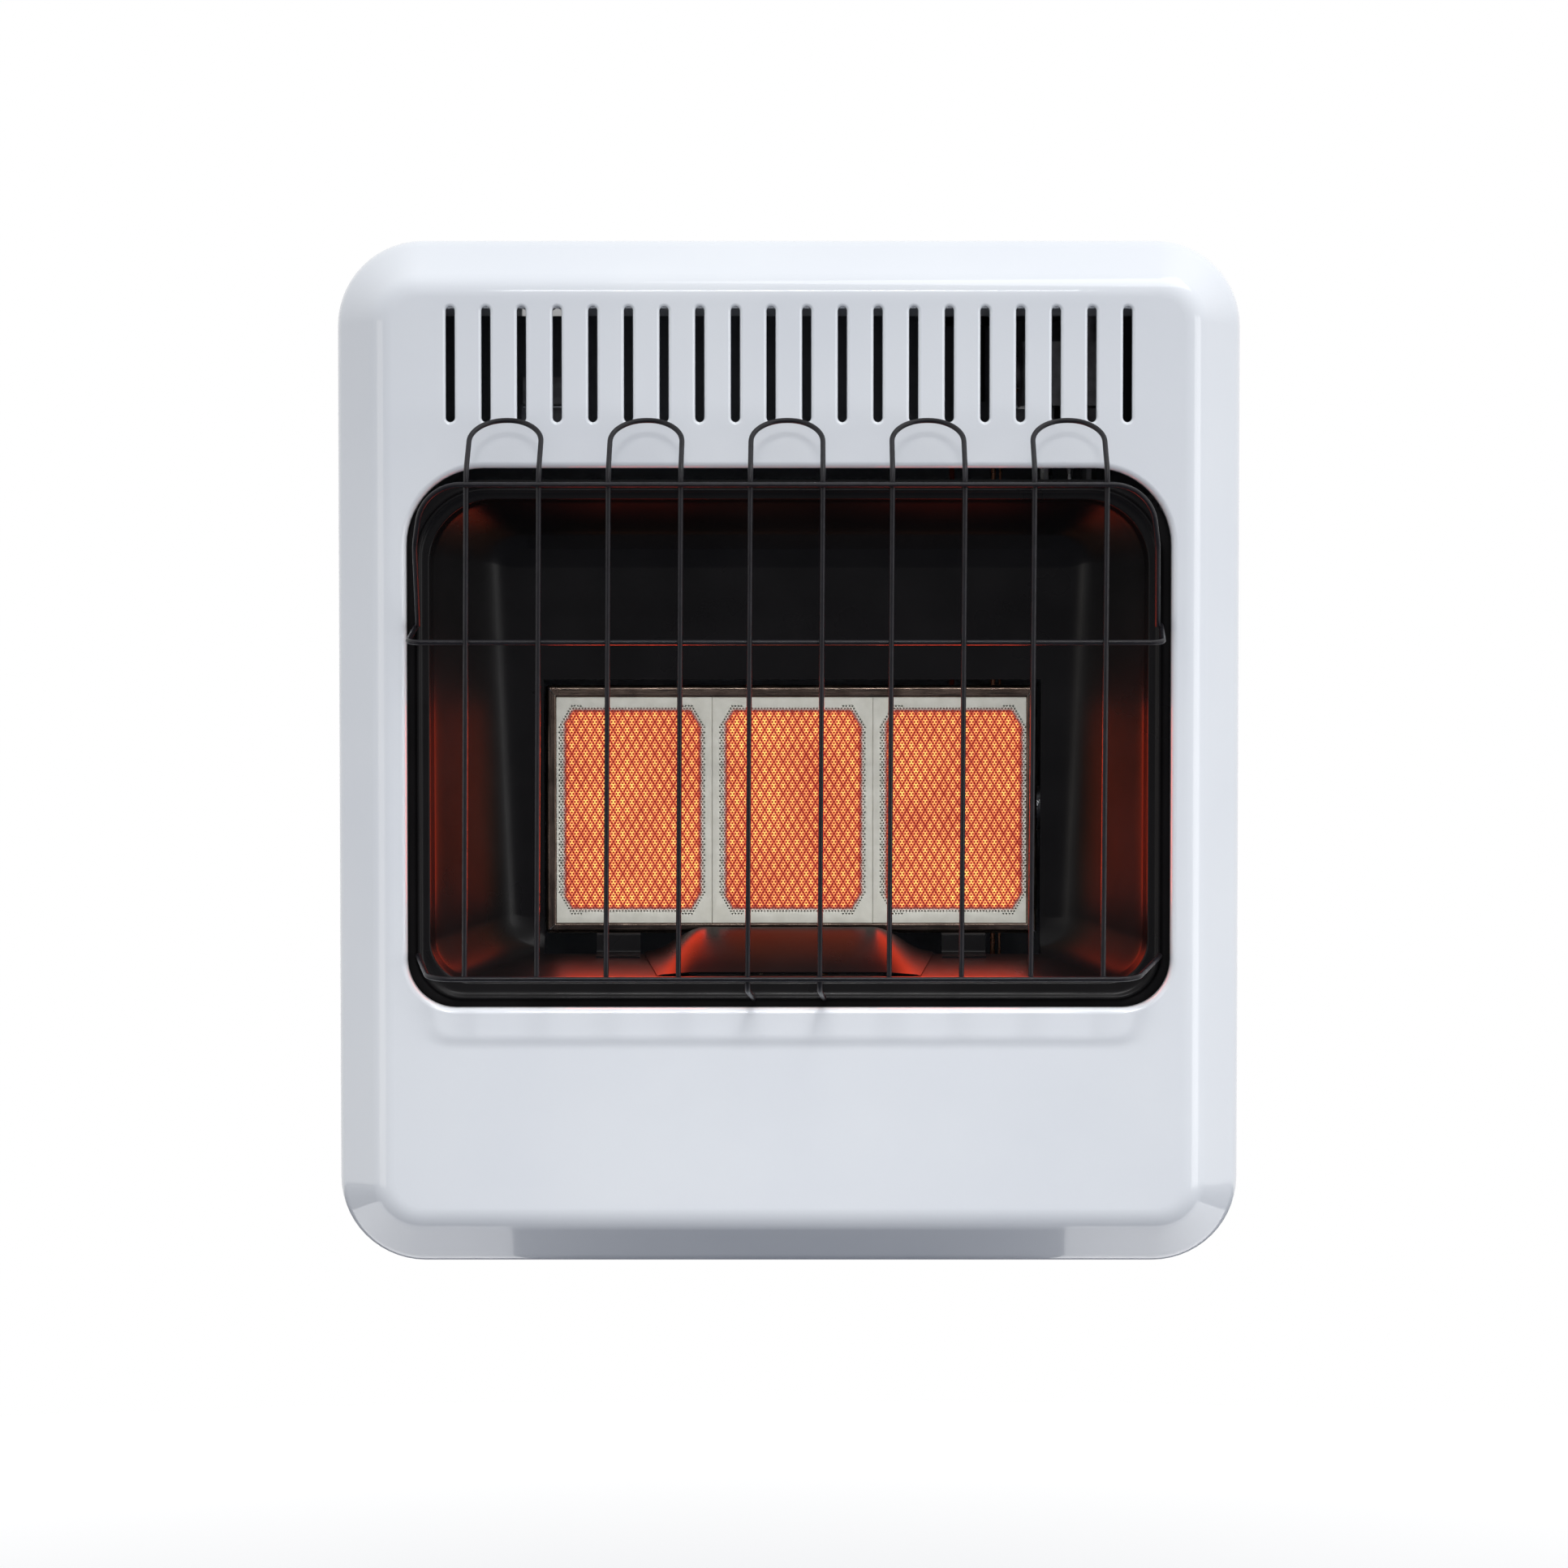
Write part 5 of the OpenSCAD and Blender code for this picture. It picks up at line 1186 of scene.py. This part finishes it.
# The large lights: name, place, size, power and colour
SOFTBOXES = (
    ("softbox_top", (0.8, -0.9, 1.8), (2.0, 1.0), 16, (1, 1, 1)),
    ("softbox_right", (2.0, -1.5, -0.55), (1.0, 2.0), 16, (1, 1, 1)),
    ("softbox_left", (-2.0, -1.5, -0.7), (1.0, 2.0), 8.5, (1.0, 0.95, 0.87)),
)
# A small light from above, for the soft shadow of the guard on the cover below the window
LOW_AT = (0, -1.7, 0.8)
LOW_AIM_Z = 30
LOW_SIZE = (0.55, 0.12)
LOW_POWER = 0.42
LOW_SPREAD = math.radians(30)
# Two cards near the floor that show only as reflections at the ends of the cover's lower bevel
CARD_X = 0.56
CARD_LIFT = 0.04
CARD_SIZE = (0.76, 0.5)
CARD_POWERS = {-1: 2.0, 1: 2.2}
# The heat glow of each plaque, from just in front of its face
GLOW_POWERS = (0.27, 0.035, 0.29)
GLOW_COLOUR = (1.0, 0.045, 0.015)
GLOW_AHEAD = 2
GLOW_SPREAD = math.radians(160)
# The world: the sky's colours from below to above and the way it faces, and the dark room behind the camera
SKY_LOW = (0.11, 0.125, 0.155)
SKY_HIGH = (0.80, 0.83, 0.88)
SKY_UP = (0.20, -0.30, 0.93)
ROOM_LOW = (0.10, 0.10, 0.11)
ROOM_HIGH = (0.38, 0.37, 0.39)


def camera():
    data = bpy.data.cameras.new("camera")
    data.sensor_width = SENSOR
    data.lens = SENSOR * FOCAL_PX / PHOTO_SIZE
    data.shift_x = (PHOTO_SIZE / 2 - CENTRE_X) / PHOTO_SIZE
    data.clip_start, data.clip_end = 0.05, 50
    obj = add_object("camera", data)
    obj.location = place(0, FACE_Y - CAMERA_FAR, CAMERA_Z)
    obj.rotation_euler = (math.radians(90 - PITCH), 0, 0)
    bpy.context.scene.camera = obj


def area_light(name, at, towards, size, power, colour=(1, 1, 1)):
    data = bpy.data.lights.new(name, "AREA")
    data.shape = "RECTANGLE"
    data.size, data.size_y = size
    data.energy = power
    data.color = colour
    obj = add_object(name, data)
    obj.location = at
    obj.rotation_mode = "QUATERNION"
    obj.rotation_quaternion = (Vector(towards) - Vector(at)).to_track_quat("-Z", "Y")
    obj.visible_camera = False
    return obj


def lights():
    for name, at, size, power, colour in SOFTBOXES:
        area_light(name, at, LIGHT_AIM, size, power, colour)
    low = area_light("softbox_low", LOW_AT, place(0, FACE_Y, LOW_AIM_Z), LOW_SIZE, LOW_POWER)
    low.data.spread = LOW_SPREAD
    for side, power in CARD_POWERS.items():
        at = Vector((CARD_X * side, 0, FLOOR_Z + CARD_LIFT))
        area_light("corner_card", at, at + Vector((0, 0, 1)), CARD_SIZE, power).visible_diffuse = False
    # the plaques' heat glow, as the enamel of the pan and the guard mirrors it
    size = (2 * FIELD_HALF_W * MM, 2 * FIELD_HALF_H * MM)
    for node, power in zip(PLAQUE_NODES, GLOW_POWERS):
        low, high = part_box(node)
        at = Vector(((low.x + high.x) / 2, low.y - GLOW_AHEAD * MM, (low.z + high.z) / 2))
        glow = area_light("plaque_glow", at, at - Vector((0, 1, 0)), size, power, GLOW_COLOUR)
        glow.data.spread = GLOW_SPREAD
        glow.visible_diffuse = False


def world():
    """White to the camera and in reflections, but for the dark room behind the camera; a soft sky as light."""
    data = bpy.data.worlds.new("studio")
    bpy.context.scene.world = data
    data.use_nodes = True
    n = Nodes(data.node_tree)
    direction = n.add("ShaderNodeTexCoord").outputs["Generated"]
    path = n.add("ShaderNodeLightPath").outputs

    def share(axis, low, high):
        """How far the view turns towards an axis: 0 to 1 between two values of their dot product."""
        toward = n.vector("DOT_PRODUCT", direction, axis, "Value")
        return n.ranged(toward, low, high, interpolation_type="SMOOTHSTEP")

    sky = n.mixed(share(SKY_UP, -1, 1), SKY_LOW, SKY_HIGH)
    shown = n.calc("MAXIMUM", path["Is Camera Ray"], path["Is Transmission Ray"])
    white = n.mixed(n.calc("MAXIMUM", shown, path["Is Glossy Ray"]), sky, (1, 1, 1))
    room = n.mixed(share((0, 0, 1), -0.40, -0.05), ROOM_LOW, ROOM_HIGH)
    behind = n.calc("MULTIPLY", share((0, -1, 0), 0.25, 0.85), path["Is Glossy Ray"])
    n.tree.links.new(n.mixed(behind, white, room), n.tree.nodes["Background"].inputs["Color"])


def floor():
    """A floor well below the heater: pale to the camera and white at its rim, darker as a light source."""
    centre = Vector((0, FLOOR_CENTRE_Y, FLOOR_Z))
    turns = [2 * math.pi * k / FLOOR_SEGMENTS for k in range(FLOOR_SEGMENTS)]
    verts = [centre] + [centre + FLOOR_RADIUS * Vector((math.cos(a), math.sin(a), 0)) for a in turns]
    faces = [(0, 1 + k, 1 + (k + 1) % FLOOR_SEGMENTS) for k in range(FLOOR_SEGMENTS)]
    s = Surface("pale_floor", FLOOR_PALE, 0.7, level=0.2)
    camera_ray = s.add("ShaderNodeLightPath").outputs["Is Camera Ray"]
    wide = s.vector("MULTIPLY", s.coords, (FLOOR_SIDE_STRETCH, 1, 1))
    away = s.vector("DISTANCE", wide, centre, "Value")
    rim = s.ranged(away, FLOOR_FADE[0] * FLOOR_RADIUS, FLOOR_FADE[1] * FLOOR_RADIUS)
    s.link(s.mixed(camera_ray, FLOOR_BOUNCE, s.mixed(rim, FLOOR_PALE, (0, 0, 0))), "Base Color")
    s.shader.inputs["Emission Color"].default_value = (1, 1, 1, 1)
    s.link(s.calc("MULTIPLY", rim, camera_ray), "Emission Strength")
    make_mesh("floor", verts, faces, s.done())


# ---------------------------------------------------------------- the scene

finish_cad_nodes()
front_cover()
reflector_pan()
pilot_hood()
wire_guard()
plaques()
burner_frame()
control_knob()
dial_marks()
igniter()
camera()
lights()
world()
floor()

bpy.context.scene.view_settings.view_transform = "Standard"
